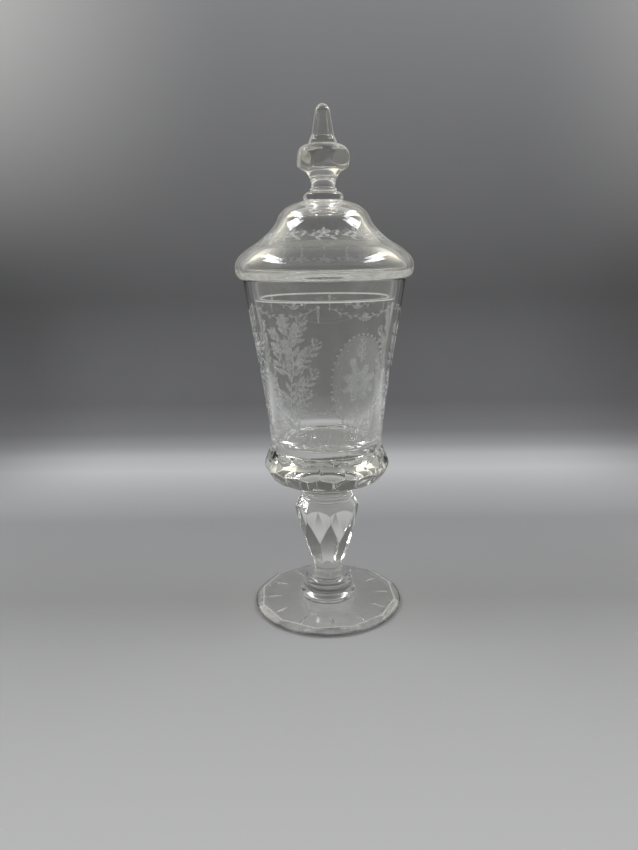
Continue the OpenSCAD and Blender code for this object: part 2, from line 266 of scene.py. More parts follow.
@dataclass(frozen=True)
class GlassFinish(Finish):
    """Old lead glass: reams of the gather, a polish worn in patches, a milky bloom that shows at a slant
    and also paints in pale side light.
    """

    tint: Colour = (0.975, 0.975, 0.950)
    pale: Colour = (0.990, 0.990, 0.978)
    ior: float = 1.52
    ream: float = 0.05
    ream_scale: float = 38.0
    ream_stretch: Triple = (1.0, 1.0, 0.25)
    ream_edge: Point = (0.35, 0.70)
    ream_depth: float = 0.002
    seed_scale: float = 900.0
    seed_edge: Point = (0.80, 0.86)
    seed_share: float = 0.04
    haze: float = 0.0
    wear: float = 0.05
    wear_scale: float = 90.0
    wear_edge: Point = (0.60, 0.78)
    lamp_share: float = 0.93
    bloom_and_sheen: float = 0.0
    bloom_and_sheen_from: float = 0.28
    bloom_and_sheen_reach: float = 0.47
    bloom_and_sheen_colour: Colour = (0.88, 0.86, 0.75)
    mottle_scale: float = 110.0
    mottle_edge: Point = (0.30, 0.70)
    mottle_least: float = 0.45
    mottle_swing: float = 0.75

    def surface(self, bench: Bench) -> Wire:
        """Polished glass that lets lamps and daylight through to what stands behind it.

        Args:
            bench: The bench for its nodes.

        Returns:
            The shader.
        """
        streaks = bench.noise(self.ream_scale, 1.0, self.ream_stretch)
        seeds = bench.noise(self.seed_scale, 0.0).between(*self.seed_edge)
        worn = bench.noise(self.wear_scale, 4.0).between(*self.wear_edge)
        bump = bench.bump(streaks + seeds * self.seed_share, self.ream, self.ream_depth)
        glass = bench.node("ShaderNodeBsdfPrincipled", {}, {
            "Base Color": bench.mix(streaks.between(*self.ream_edge), self.pale, self.tint),
            "Roughness": self.haze + worn * self.wear,
            "IOR": self.ior,
            "Transmission Weight": 1.0,
            "Normal": bump,
        })
        # partly painted light: a lit milky film, strongest where the glass turns away, stands in for
        # pale light seen at the sides of the walls
        if self.bloom_and_sheen:
            glass = bench.blend(self.slant(bench) * self.bloom_and_sheen, glass, bench.node(
                "ShaderNodeBsdfDiffuse", {}, {"Color": self.bloom_and_sheen_colour, "Normal": bump}
            ))
        clear = bench.node("ShaderNodeBsdfTransparent", {}, {"Color": self.pale})
        shadow = bench.node("ShaderNodeLightPath", out="Is Shadow Ray")
        spread = bench.node("ShaderNodeLightPath", out="Is Diffuse Ray")
        return bench.blend(shadow.at_least(spread) * self.lamp_share, glass, clear)

    def slant(self, bench: Bench) -> Wire:
        """The mottled share of the bloom and painted sheen, which grows as the glass turns away.

        Args:
            bench: The bench for its nodes.

        Returns:
            The share, from 0 to about 1.
        """
        facing = bench.node("ShaderNodeLayerWeight", {}, {"Blend": 0.5}, out="Facing")
        mottle = bench.noise(self.mottle_scale, 5.0).between(*self.mottle_edge)
        turned_away = facing.between(self.bloom_and_sheen_from, self.bloom_and_sheen_from + self.bloom_and_sheen_reach)
        return turned_away * (self.mottle_least + self.mottle_swing * mottle)


@dataclass(frozen=True)
class JointFinish(Finish):
    """The seam where two gathers are fused: nothing shows but a few trapped seeds."""

    colour: Colour = (0.9, 0.92, 0.9)
    polish: float = 0.1
    seed_scale: float = 700.0
    seed_edge: Point = (0.86, 0.90)
    seed_veil: float = 0.15

    def surface(self, bench: Bench) -> Wire:
        """A clear skin with specks.

        Args:
            bench: The bench for its nodes.

        Returns:
            The shader.
        """
        seed = bench.noise(self.seed_scale, 0.0).between(*self.seed_edge)
        sockets = {"Base Color": self.colour, "Roughness": self.polish, "Alpha": seed * self.seed_veil}
        return bench.node("ShaderNodeBsdfPrincipled", {}, sockets)


@dataclass(frozen=True)
class GroundFinish(Finish):
    """A ground edge, an engraved face or the painted glint line along facet edges: a frosted skin that
    scatters light.
    """

    colour: Colour = (0.86, 0.87, 0.85)
    shade: Colour = (0.70, 0.72, 0.70)
    veil: float = 0.46
    veil_swing: float = 0.30
    grain_scale: float = 1500.0
    grain_share: float = 0.6
    grain_bump: float = 0.3
    grain_depth: float = 0.0002
    patch_scale: float = 160.0
    patch_share: float = 0.4
    frost_edge: Point = (0.30, 0.70)
    rough: float = 0.55
    rough_swing: float = 0.3
    through: float = 0.0

    def surface(self, bench: Bench) -> Wire:
        """A grainy white skin that is thin in patches.

        Args:
            bench: The bench for its nodes.

        Returns:
            The shader.
        """
        grain = bench.noise(self.grain_scale, 3.0)
        patch = bench.noise(self.patch_scale, 2.0)
        frost = (grain * self.grain_share + patch * self.patch_share).between(*self.frost_edge)
        bump = bench.bump(grain, self.grain_bump, self.grain_depth)
        skin = bench.node("ShaderNodeBsdfPrincipled", {}, {
            "Base Color": bench.mix(frost, self.shade, self.colour),
            "Roughness": self.rough + frost * self.rough_swing,
            "Alpha": self.veil - 0.5 * self.veil_swing + frost * self.veil_swing,
            "Normal": bump,
        })
        if not self.through:
            return skin
        sockets = {"Color": self.colour, "Normal": bump}
        return bench.blend(self.through, skin, bench.node("ShaderNodeBsdfTranslucent", {}, sockets))


@dataclass(frozen=True)
class PaperFinish(Finish):
    """The studio's grey paper, with light and shade painted in: paler where the floor starts to bend,
    painted shade where it turns up into the wall and at its lower ends, painted light at the wall's
    sides.
    """

    stops: tuple[Point, ...] = ()
    near: float = -0.3
    far: float = 1.0
    glow: Colour = (0.80, 0.785, 0.75)
    left: Point = (0.10, 0.48)
    right: Point = (0.22, 0.50)
    right_share: float = 0.58
    glow_rise: Point = (0.20, 0.55)
    dim: float = 0.06
    dim_share: float = 0.55
    dim_aside: Point = (0.05, 0.18)
    dim_back: Point = (0.10, 0.30)
    dim_rise: Point = (0.12, 0.32)
    fibre_scale: float = 420.0
    cloud_scale: float = 5.0
    cloud_share: float = 0.7
    tone: float = 0.5
    tone_share: float = 0.16
    fibre_bump: float = 0.05
    fibre_depth: float = 0.0005
    rough: float = 0.7
    rough_swing: float = 0.2
    gloss: float = 0.2

    def surface(self, bench: Bench) -> Wire:
        """Paper with painted light and shade along its run from the floor up the wall.

        Args:
            bench: The bench for its nodes.

        Returns:
            The shader.
        """
        across, back, height = bench.axes(bench.places())
        reach = self.far - self.near
        # painted light and shade: the ramp's greys stand in for how the paper is lit along its run, pale
        # at the bend and dark up the wall
        stops = [((place - self.near) / reach, tone) for place, tone in self.stops]
        run = (back + height - self.near) / reach
        paper = bench.node("ShaderNodeValToRGB", {"stops": stops}, {"Fac": run}, out="Color")
        # painted shade: the lower ends of the bend and the wall are darkened towards a dark grey
        aside = (across * across).between(*self.dim_aside) * back.between(*self.dim_back)
        ends = aside * (1.0 - height.between(*self.dim_rise))
        dim = bench.mix(ends * self.dim_share, paper, grey(self.dim))
        # painted light: a pale warm colour laid on the wall's sides, growing with height, stronger on
        # the left
        sides = (0.0 - across).between(*self.left) + across.between(*self.right) * self.right_share
        lit = bench.mix(sides * height.between(*self.glow_rise), dim, self.glow)
        fibre = bench.noise(self.fibre_scale, 4.0)
        cloud = bench.noise(self.cloud_scale, 2.0)
        spots = fibre * (1.0 - self.cloud_share) + cloud * self.cloud_share
        return bench.node("ShaderNodeBsdfPrincipled", {}, {
            "Base Color": bench.mix(spots * self.tone_share, lit, grey(self.tone)),
            "Roughness": self.rough + fibre * self.rough_swing,
            "Specular IOR Level": self.gloss,
            "Normal": bench.bump(fibre, self.fibre_bump, self.fibre_depth),
        })


class Wardrobe:
    """Makes each finish once and hands out its material."""

    def __init__(self) -> None:
        """Starts with nothing made."""
        self.made: dict[str, bpy.types.Material] = {}

    def take(self, finish: Finish) -> bpy.types.Material:
        """The material of a finish.

        Args:
            finish: The finish.

        Returns:
            The material, made on first use.
        """
        if finish.name not in self.made:
            self.made[finish.name] = finish.make()
        return self.made[finish.name]

    def dress(self, mesh: bpy.types.Mesh, finishes: dict[Enum, Finish], worn: list[Enum]) -> None:
        """Gives each face of a mesh its finish.

        Args:
            mesh: The mesh.
            finishes: The finishes to choose from.
            worn: The choice for each face.
        """
        order = sorted(set(worn), key=lambda choice: choice.value)
        for choice in order:
            mesh.materials.append(self.take(finishes[choice]))
        number = {choice: k for k, choice in enumerate(order)}
        mesh.polygons.foreach_set("material_index", [number[choice] for choice in worn])


EVEN = (1.0, 1.0, 1.0)
CLEAR = GlassFinish("clear_glass")
CUT = GlassFinish(
    "cut_glass", tint=(0.935, 0.935, 0.865), pale=(0.965, 0.965, 0.925), ior=1.50, ream=0.02,
    ream_scale=70.0, ream_stretch=EVEN, wear=0.03,
)
STEM = replace(CUT, name="stem_glass", haze=0.03)
CALYX = replace(CUT, name="calyx_glass", tint=(0.89, 0.89, 0.80), pale=(0.945, 0.945, 0.885))
# the cover's and the finial's bloom also paints in the pale light that their walls show
DOME = replace(CLEAR, name="cover_glass", tint=(0.965, 0.965, 0.925), bloom_and_sheen=0.28)
FINIAL = replace(CUT, name="finial_glass", bloom_and_sheen=0.42, bloom_and_sheen_from=0.22)
FOOT = GlassFinish(
    "foot_glass", tint=(0.93, 0.93, 0.915), pale=(0.965, 0.965, 0.955), ream=0.14, ream_scale=90.0,
    ream_stretch=EVEN, wear=0.09, wear_scale=140.0, lamp_share=0.88,
)
# painted shade: nearly black glass on the foot's outer edge and the rim of its top, standing in for the
# dark line of contact shadow and dark refraction there
SHADED_RIM = GlassFinish(
    "foot_painted_shade_rim", tint=(0.12, 0.12, 0.11), pale=(0.20, 0.20, 0.18), wear=0.2, wear_scale=200.0,
    lamp_share=0.6,
)
STAND = GlassFinish(
    "worn_base", tint=(0.94, 0.94, 0.925), haze=0.22, wear=0.25, wear_scale=260.0, lamp_share=0.88
)
JOINT = JointFinish("fused_joint")
GROUND = GroundFinish("ground_edge", (0.94, 0.94, 0.92), veil=0.85, veil_swing=0.2, through=0.55)
# painted highlight: a white frosted line along the calyx's facet edges and the foot's bevel crease,
# standing in for the glints of polished edges
GLINT_LINE = GroundFinish(
    "painted_glint_line", (0.97, 0.97, 0.93), (0.84, 0.85, 0.80), veil=0.55, veil_swing=0.4, through=0.4
)
WARDROBE = Wardrobe()
CLEAR_SET = {Layer.GLASS: CLEAR, Layer.JOINT: JOINT, Layer.GROUND: GROUND}
DOME_SET = {Layer.GLASS: DOME, Layer.JOINT: JOINT}
FINIAL_SET = {Layer.GLASS: FINIAL, Layer.JOINT: JOINT}
STEM_SET = {Layer.GLASS: STEM, Layer.JOINT: JOINT}
CALYX_SET = {Layer.GLASS: CALYX, Layer.JOINT: JOINT, Layer.GLINT_LINE: GLINT_LINE}
FOOT_SET = {
    Layer.GLASS: FOOT, Layer.JOINT: JOINT, Layer.GROUND: STAND, Layer.SHADED_RIM: SHADED_RIM, Layer.GLINT_LINE: GLINT_LINE
}


def bend(start: Point, end: Point, first: Point, second: Point, steps: int = 28) -> Line:
    """A smooth stretch of outline, drawn towards two points that lie part of the way along.

    Args:
        start: Radius and height where it begins, in millimetres.
        end: Radius and height where it ends.
        first: Shares of the way, in radius and height, of the point that draws its beginning.
        second: The same for its ending.
        steps: Segments of the stretch.

    Returns:
        Rows of radius and height.
    """
    a, d = np.array(start, float), np.array(end, float)
    b, c = a + np.array(first) * (d - a), a + np.array(second) * (d - a)
    t = np.linspace(0.0, 1.0, steps + 1)[:, None]
    s = 1.0 - t
    return s**3 * a + 3 * s**2 * t * b + 3 * s * t**2 * c + t**3 * d


def joined(*stretches: Any) -> Line:
    """Joins stretches of outline and drops the points that two of them share.

    Args:
        stretches: Arrays or lists of radius and height.

    Returns:
        One outline.
    """
    rows = np.vstack([np.atleast_2d(np.array(s, float)) for s in stretches])
    keep = np.r_[True, np.linalg.norm(np.diff(rows, axis=0), axis=1) > 1e-6]
    return rows[keep]


def even(line: Line, pitch: float) -> Line:
    """The same outline with points at an even pitch along it.

    Args:
        line: Rows of radius and height.
        pitch: Distance between points, in millimetres.

    Returns:
        The new rows.
    """
    run = np.r_[0.0, np.cumsum(np.linalg.norm(np.diff(line, axis=0), axis=1))]
    at = np.linspace(0.0, run[-1], max(2, int(run[-1] / pitch) + 1))
    return np.column_stack([np.interp(at, run, line[:, 0]), np.interp(at, run, line[:, 1])])


def inside_of(line: Line, wall: float) -> Line:
    """An outline moved inwards by a wall.

    Args:
        line: Rows of radius and height.
        wall: The wall in millimetres.

    Returns:
        The moved rows.
    """
    along = np.gradient(line, axis=0)
    along /= np.linalg.norm(along, axis=1)[:, None]
    return line + wall * np.column_stack([-along[:, 1], along[:, 0]])


def eased_min(first: Span, second: Span, ease: float = EASE) -> np.ndarray:
    """The smaller of two surfaces, with the edge between them polished down."""
    return 0.5 * (first + second - np.sqrt((first - second) ** 2 + ease**2))


def eased_max(first: Span, second: Span, ease: float = EASE) -> np.ndarray:
    """The larger of two surfaces, with the groove between them filled a little."""
    return 0.5 * (first + second + np.sqrt((first - second) ** 2 + ease**2))


def lean(low: Point, high: Point) -> float:
    """How far the side from a low to a high point looks up, in degrees."""
    return math.degrees(math.atan2(low[0] - high[0], high[1] - low[1]))


@dataclass(frozen=True)
class FacetRow:
    """A ring of flat cuts, each through one point of radius and height and looking up by a tilt."""

    count: int
    turn: float
    radius: float = 0.0
    height: float = 0.0
    tilt: float = 0.0

    def fold(self, angle: np.ndarray) -> np.ndarray:
        """The angle from the middle of the nearest facet, in radians."""
        pitch = 2 * math.pi / self.count
        return (angle - math.radians(self.turn) + pitch / 2) % pitch - pitch / 2

    def reach(self, angle: np.ndarray, height: float) -> np.ndarray:
        """Radius of the cuts at a height.

        Args:
            angle: Angles round the axis, in radians.
            height: Height in millimetres above the piece's foot.

        Returns:
            The radius at each angle.
        """
        middle = self.radius - (height - self.height) * math.tan(math.radians(self.tilt))
        return middle / np.cos(self.fold(angle))


@dataclass
class Skin:
    """A closed mesh of rings round the axis, in the place of the solid that has its name."""

    name: str
    sectors: int
    lift: float = 0.0
    rings: list[np.ndarray] = field(default_factory=list)
    layers: list[np.ndarray] = field(default_factory=list)

    def __post_init__(self) -> None:
        """Lays out the angles of the sectors, and finds the height that rings are measured from."""
        self.angle = np.arange(self.sectors) * 2 * math.pi / self.sectors
        self.base = level(self.name) + self.lift

    def ring(self, radius: Span, height: Span, layer: Layer = Layer.GLASS,
             worn: np.ndarray | None = None) -> None:
        """Adds a ring.

        Args:
            radius: Radius in millimetres, one for all or one for each sector.
            height: Height above the piece's foot, in millimetres.
            layer: Finish of the band that leads up to this ring.
            worn: True at the sectors where the painted glint line along a facet edge crosses that band.
        """
        r = np.broadcast_to(radius, self.sectors)
        z = np.broadcast_to(height, self.sectors) + self.base
        self.rings.append(np.column_stack([r * np.cos(self.angle), r * np.sin(self.angle), z]))
        band = np.full(self.sectors, layer, dtype=object)
        if worn is not None:
            band[worn] = Layer.GLINT_LINE
        self.layers.append(band)

    def line(self, rows: Line, layer: Layer = Layer.GLASS) -> None:
        """Adds a ring for each row of radius and height."""
        for radius, height in rows:
            self.ring(float(radius), float(height), layer)

    def pole(self, height: float, layer: Layer = Layer.GLASS) -> None:
        """Adds a point on the axis, as a ring without size."""
        self.ring(0.0, height, layer)

    def carved(self, radius: float, height: float, rows: list[FacetRow]) -> np.ndarray:
        """A round with rows of facets cut into it.

        Args:
            radius: Radius of the round, in millimetres.
            height: Height above the piece's foot.
            rows: The rows of facets.

        Returns:
            The radius at each sector.
        """
        left = np.full(self.sectors, radius)
        for row in rows:
            left = eased_min(left, row.reach(self.angle, height))
        return left

    def ridges(self, radius: float, height: float, rows: list[FacetRow], width: float) -> np.ndarray:
        """Where ridges between facets cross a ring: the places of the painted glint line.

        Args:
            radius: Radius of the round, in millimetres.
            height: Height above the piece's foot.
            rows: The rows of facets.
            width: Half the width of a ridge.

        Returns:
            True at each sector on a ridge.
        """
        reach = np.array([row.reach(self.angle, height) for row in rows])
        order = np.sort(reach, axis=0)
        aside = [(math.pi / row.count - np.abs(row.fold(self.angle))) * radius for row in rows]
        nearest = np.array(aside)[np.argmin(reach, axis=0), np.arange(self.sectors)]
        return ((nearest < width) | (order[1] - order[0] < width)) & (order[0] < radius)

    def faces(self, looped: bool) -> tuple[list[tuple[int, ...]], list[Layer], list[Point]]:
        """The faces between the rings.

        Args:
            looped: True where the last ring leads back to the first.

        Returns:
            The faces, the finish of each, and the map coordinates of their corners.
        """
        n, count = self.sectors, len(self.rings)
        around = self.rings + self.rings[:1] if looped else self.rings
        step = [float(np.linalg.norm(b - a, axis=1).mean()) for a, b in zip(around, around[1:])]
        up = np.r_[0.0, np.cumsum(step)] / sum(step)
        first_pole = not looped and np.allclose(self.rings[0][:, :2], 0.0)
        last_pole = not looped and np.allclose(self.rings[-1][:, :2], 0.0)
        faces: list[tuple[int, ...]] = []
        layers: list[Layer] = []
        maps: list[Point] = []
        for k in range(len(step)):
            after = (k + 1) % count
            low, high = float(up[k]), float(up[k + 1])
            for j in range(n):
                i, left, right = (j + 1) % n, j / n, (j + 1) / n
                corners = [(k, j, left, low), (k, i, right, low)]
                corners += [(after, i, right, high), (after, j, left, high)]
                if k == 0 and first_pole:
                    corners = [(k, 0, (left + right) / 2, low)] + corners[2:]
                elif after == count - 1 and last_pole:
                    corners = corners[:2] + [(after, 0, (left + right) / 2, high)]
                faces.append(tuple(ring * n + sector for ring, sector, *_ in corners))
                maps.extend((u, v) for *_, u, v in corners)
                layers.append(self.layers[after][j])
        return faces, layers, maps

    def build(self, finishes: dict[Layer, Finish], looped: bool = False) -> bpy.types.Object:
        """Makes the mesh object.

        Args:
            finishes: The finish of each layer.
            looped: True for a ring of glass, where the last ring leads back to the first.

        Returns:
            The object, in the scene.
        """
        faces, layers, maps = self.faces(looped)
        points = np.vstack(self.rings) * MM
        used = np.zeros(len(points), bool)
        used[np.concatenate([np.array(face) for face in faces])] = True
        number = np.cumsum(used) - 1
        mesh = bpy.data.meshes.new(self.name)
        mesh.from_pydata(points[used].tolist(), [], [tuple(number[list(f)].tolist()) for f in faces])
        WARDROBE.dress(mesh, finishes, layers)
        mesh.uv_layers.new(name="OFBake").data.foreach_set("uv", np.array(maps, np.float32).ravel())
        return place(self.name, mesh)


def place(name: str, mesh: bpy.types.Mesh, sharp: float = 32.0) -> bpy.types.Object:
    """Puts a mesh in the scene with smooth faces and crisp edges.

    Args:
        name: The object's name.
        mesh: Its mesh.
        sharp: Angle in degrees from which an edge stays crisp.

    Returns:
        The object.
    """
    mesh.polygons.foreach_set("use_smooth", [True] * len(mesh.polygons))
    mesh.set_sharp_from_angle(angle=math.radians(sharp))
    mesh.update()
    made = bpy.data.objects.new(name, mesh)
    bpy.context.scene.collection.objects.link(made)
    return made


def settle(piece: bpy.types.Object, body: Body, slot: Slot, *nodes: str) -> bpy.types.Object:
    """Ties a piece to its body, hides the solids that it stands for, and reports it.

    Args:
        piece: The finished piece.
        body: The body that it rides on.
        slot: The material slot that it would take its finish from; not used.
        nodes: The solids that it stands for.

    Returns:
        The piece.
    """
    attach(piece, body.value)
    if nodes:
        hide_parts(*nodes)
    LOG.info("%s: %d faces on %s", piece.name, len(piece.data.polygons), body.value)
    return piece


def level(node: str) -> float:
    """Height of a solid's foot in millimetres."""
    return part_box(node)[0].z / MM


def turned(name: str, rows: Line, above: float, sectors: int = 224) -> bpy.types.Object:
    """A solid turned piece of clear glass between two fused joints.

    Args:
        name: The piece's name, which is its solid's too.
        rows: Its outline from the joint at its foot up, radius and height in millimetres.
        above: Radius of the joint at its top.
        sectors: Steps round the axis.

    Returns:
        The object.
    """
    skin = Skin(name, sectors)
    top = float(rows[-1][1])
    skin.pole(0.0)
    skin.line(rows[:1], Layer.JOINT)
    skin.line(rows[1:])
    if above < rows[-1][0]:
        skin.ring(above, top)
    skin.pole(top, Layer.JOINT)
    return skin.build(CLEAR_SET)


@dataclass
class Foot:
    """A round plate with a bevelled edge and rays cut underneath, and the button under the stem."""

    plate_r: float = 49.4
    chamfer: float = 0.6
    edge_h: float = 1.5
    bevel_w: float = 4.8
    bevel_h: float = 2.4
    rise: float = 1.3
    bevel_ease: float = 0.3
    ridge: float = 0.17
    ray_count: int = 12
    ray_turn: float = -86.0
    ray_in: float = 31.6
    ray_out: float = 41.6
    ray_w: float = 1.8
    ray_depth: float = 0.6
    ray_taper: int = 4
    ray_least: float = 0.05
    ring_r: float = 18.7
    ring_h: float = 4.8
    knob_r: float = 16.6
    knob_h: float = 10.6
    belly_z: float = 3.7
    groove: float = 1.1
    joint_step: float = 0.5
    stem_r: float = 9.3
    under_r: tuple[float, ...] = (4.0, 12.0, 20.0, 28.0)
    stand_r: tuple[float, ...] = (44.0, 47.0)
    sectors: int = 432
    ray_rings: int = 36
    bevel_rings: int = 40
    bevel_end: float = 1.6
    face_rings: int = 10
    face_start: float = 1.8

    def ray(self, angle: np.ndarray, radius: float) -> np.ndarray:
        """Depth of the rays at a radius.

        Args:
            angle: Angles round the axis, in radians.
            radius: Radius in millimetres.

        Returns:
            The depth at each angle.
        """
        middle, half = (self.ray_in + self.ray_out) / 2, (self.ray_out - self.ray_in) / 2
        along = 1.0 - min(1.0, abs(radius - middle) / half) ** self.ray_taper
        aside = np.abs(radius * np.sin(FacetRow(self.ray_count, self.ray_turn).fold(angle)))
        across = 1.0 - aside / (self.ray_w / 2 * max(along, self.ray_least))
        return self.ray_depth * along * np.clip(across, 0.0, 1.0)

    def top(self, angle: np.ndarray, radius: float) -> tuple[Span, np.ndarray]:
        """The plate's upper face, with the flats that bevel its edge.

        Args:
            angle: Angles round the axis, in radians.
            radius: Radius in millimetres.

        Returns:
            The height at each angle, and where the painted glint line along the bevel's crease crosses.
        """
        inner = self.ring_r + self.joint_step
        share = np.clip((self.plate_r - radius) / (self.plate_r - inner), 0.0, 1.0)
        face = self.edge_h + self.bevel_h + self.rise * share
        out = radius * np.cos(FacetRow(self.ray_count, self.ray_turn).fold(angle))
        flat = self.edge_h + (self.plate_r - out) * self.bevel_h / self.bevel_w
        near_edge = radius > self.plate_r - 2 * self.bevel_w
        height = eased_min(face, flat, self.bevel_ease) if near_edge else face
        return height, np.abs(face - flat) < self.ridge

    def plate(self) -> bpy.types.Object:
        """Builds the plate.

        Returns:
            The plate.
        """
        skin = Skin("foot_plate", self.sectors)
        skin.pole(0.0)
        for radius in (*self.under_r, *np.linspace(self.ray_in, self.ray_out, self.ray_rings)):
            skin.ring(radius, self.ray(skin.angle, radius))
        edge = self.plate_r - self.chamfer
        for radius in (*self.stand_r, edge):
            skin.ring(radius, 0.0, Layer.GROUND)
        skin.ring(self.plate_r, self.chamfer, Layer.SHADED_RIM)
        for radius in (self.plate_r, edge):
            skin.ring(radius, self.top(skin.angle, radius)[0], Layer.SHADED_RIM)
        outer = np.linspace(edge, self.plate_r - self.bevel_end * self.bevel_w, self.bevel_rings)[1:]
        face_r = self.plate_r - self.face_start * self.bevel_w
        inner = np.linspace(face_r, self.ring_r + self.joint_step, self.face_rings)
        for radius in (*outer, *inner):
            # the bevel's crease wears the painted glint line
            height, worn = self.top(skin.angle, radius)
            skin.ring(radius, height, Layer.GLASS, worn)
        foot_h = self.edge_h + self.bevel_h + self.rise
        skin.ring(self.ring_r - self.joint_step, foot_h)
        skin.pole(foot_h, Layer.JOINT)
        return skin.build(FOOT_SET)

    def button(self) -> bpy.types.Object:
        """Builds the button: a low ring, a groove and a domed knob.

        Returns:
            The button.
        """
        start = (self.ring_r - self.joint_step, 0.0)
        ring = (self.ring_r, self.ring_h / 2)
        waist = (self.knob_r - self.groove, self.ring_h)
        belly = (self.knob_r, self.ring_h + self.belly_z)
        top = (self.stem_r + self.joint_step, self.ring_h + self.knob_h)
        rows = joined(
            bend(start, ring, (1, 0.4), (1, 0.6)),
            bend(ring, waist, (0, 0.6), (0.66, 0.8)),
            bend(waist, belly, (1, 0.15), (1, 0.6)),
            bend(belly, top, (0, 0.6), (0.3, 1)),
        )
        return turned("foot_button", rows, self.stem_r)

    def build(self) -> None:
        """Builds and settles the foot's pieces."""
        settle(self.plate(), Body.GOBLET, Slot.CLEAR, "foot_plate")
        settle(self.button(), Body.GOBLET, Slot.CLEAR, "foot_button")


@dataclass
class Stem:
    """An inverted baluster with long panels and shoulder facets, and a collar of two fine beads."""

    height: float = 54.9
    foot_r: float = 9.3
    neck_h: float = 9.0
    neck_draft: float = 0.3
    shoulder_r: float = 21.7
    shoulder_z: float = 43.8
    panel_top_z: float = 46.2
    panels: int = 8
    turn: float = -84.5
    facet_depth: float = 3.0
    facet_drop: float = 3.0
    facet_tilt: float = -8.0
    collar_r: float = 17.7
    collar_h: float = 4.0
    collar_groove: float = 0.7
    joint_step: float = 0.5
    sectors: int = 416
    pitch: float = 0.32
    bead_steps: int = 20

    def baluster(self) -> bpy.types.Object:
        """Builds the baluster.

        Returns:
            The baluster.
        """
        foot, shoulder = (self.foot_r, 0.0), (self.shoulder_r, self.shoulder_z)
        top = (self.collar_r - self.joint_step, self.height)
        rows = even(joined(
            bend(foot, shoulder, (0.09, 0.37), (0.88, 0.55), 60),
            bend(shoulder, top, (0, 0.5), (0.64, 0.86), 30),
        ), self.pitch)
        neck_end = self.foot_r + self.neck_draft
        slope = (self.shoulder_r - neck_end) / (self.panel_top_z - self.neck_h)
        tilt = -math.degrees(math.atan(slope))
        cuts = [
            FacetRow(self.panels, self.turn, neck_end, self.neck_h, tilt),
            FacetRow(
                self.panels, self.turn + 180 / self.panels, self.shoulder_r - self.facet_depth,
                self.shoulder_z - self.facet_drop, self.facet_tilt,
            ),
        ]
        skin = Skin("stem_baluster", self.sectors)
        skin.pole(0.0)
        skin.ring(self.foot_r, 0.0, Layer.JOINT)
        for radius, height in rows[1:]:
            left = skin.carved(radius, height, cuts)
            if height < 2 * self.neck_h:
                left = eased_max(left, self.foot_r + self.neck_draft * height / self.neck_h)
            skin.ring(left, height)
        skin.pole(self.height, Layer.JOINT)
        return skin.build(STEM_SET)

    def collar(self) -> bpy.types.Object:
        """Builds the collar.

        Returns:
            The collar.
        """
        bead, edge = self.collar_h / 2, self.collar_r - self.joint_step
        waist = self.collar_r - self.collar_groove
        share = np.linspace(0.0, 1.0, self.bead_steps)
        swell = self.joint_step * np.sin(share * math.pi)
        low = np.column_stack([edge + (waist - edge) * share + swell, bead * share])
        high = np.column_stack([waist + (edge - waist) * share + swell, bead + bead * share])
        return turned("stem_collar", joined(low, high), edge - self.joint_step)

    def build(self) -> None:
        """Builds and settles the stem's pieces."""
        settle(self.baluster(), Body.GOBLET, Slot.CUT, "stem_baluster")
        settle(self.collar(), Body.GOBLET, Slot.CLEAR, "stem_collar")


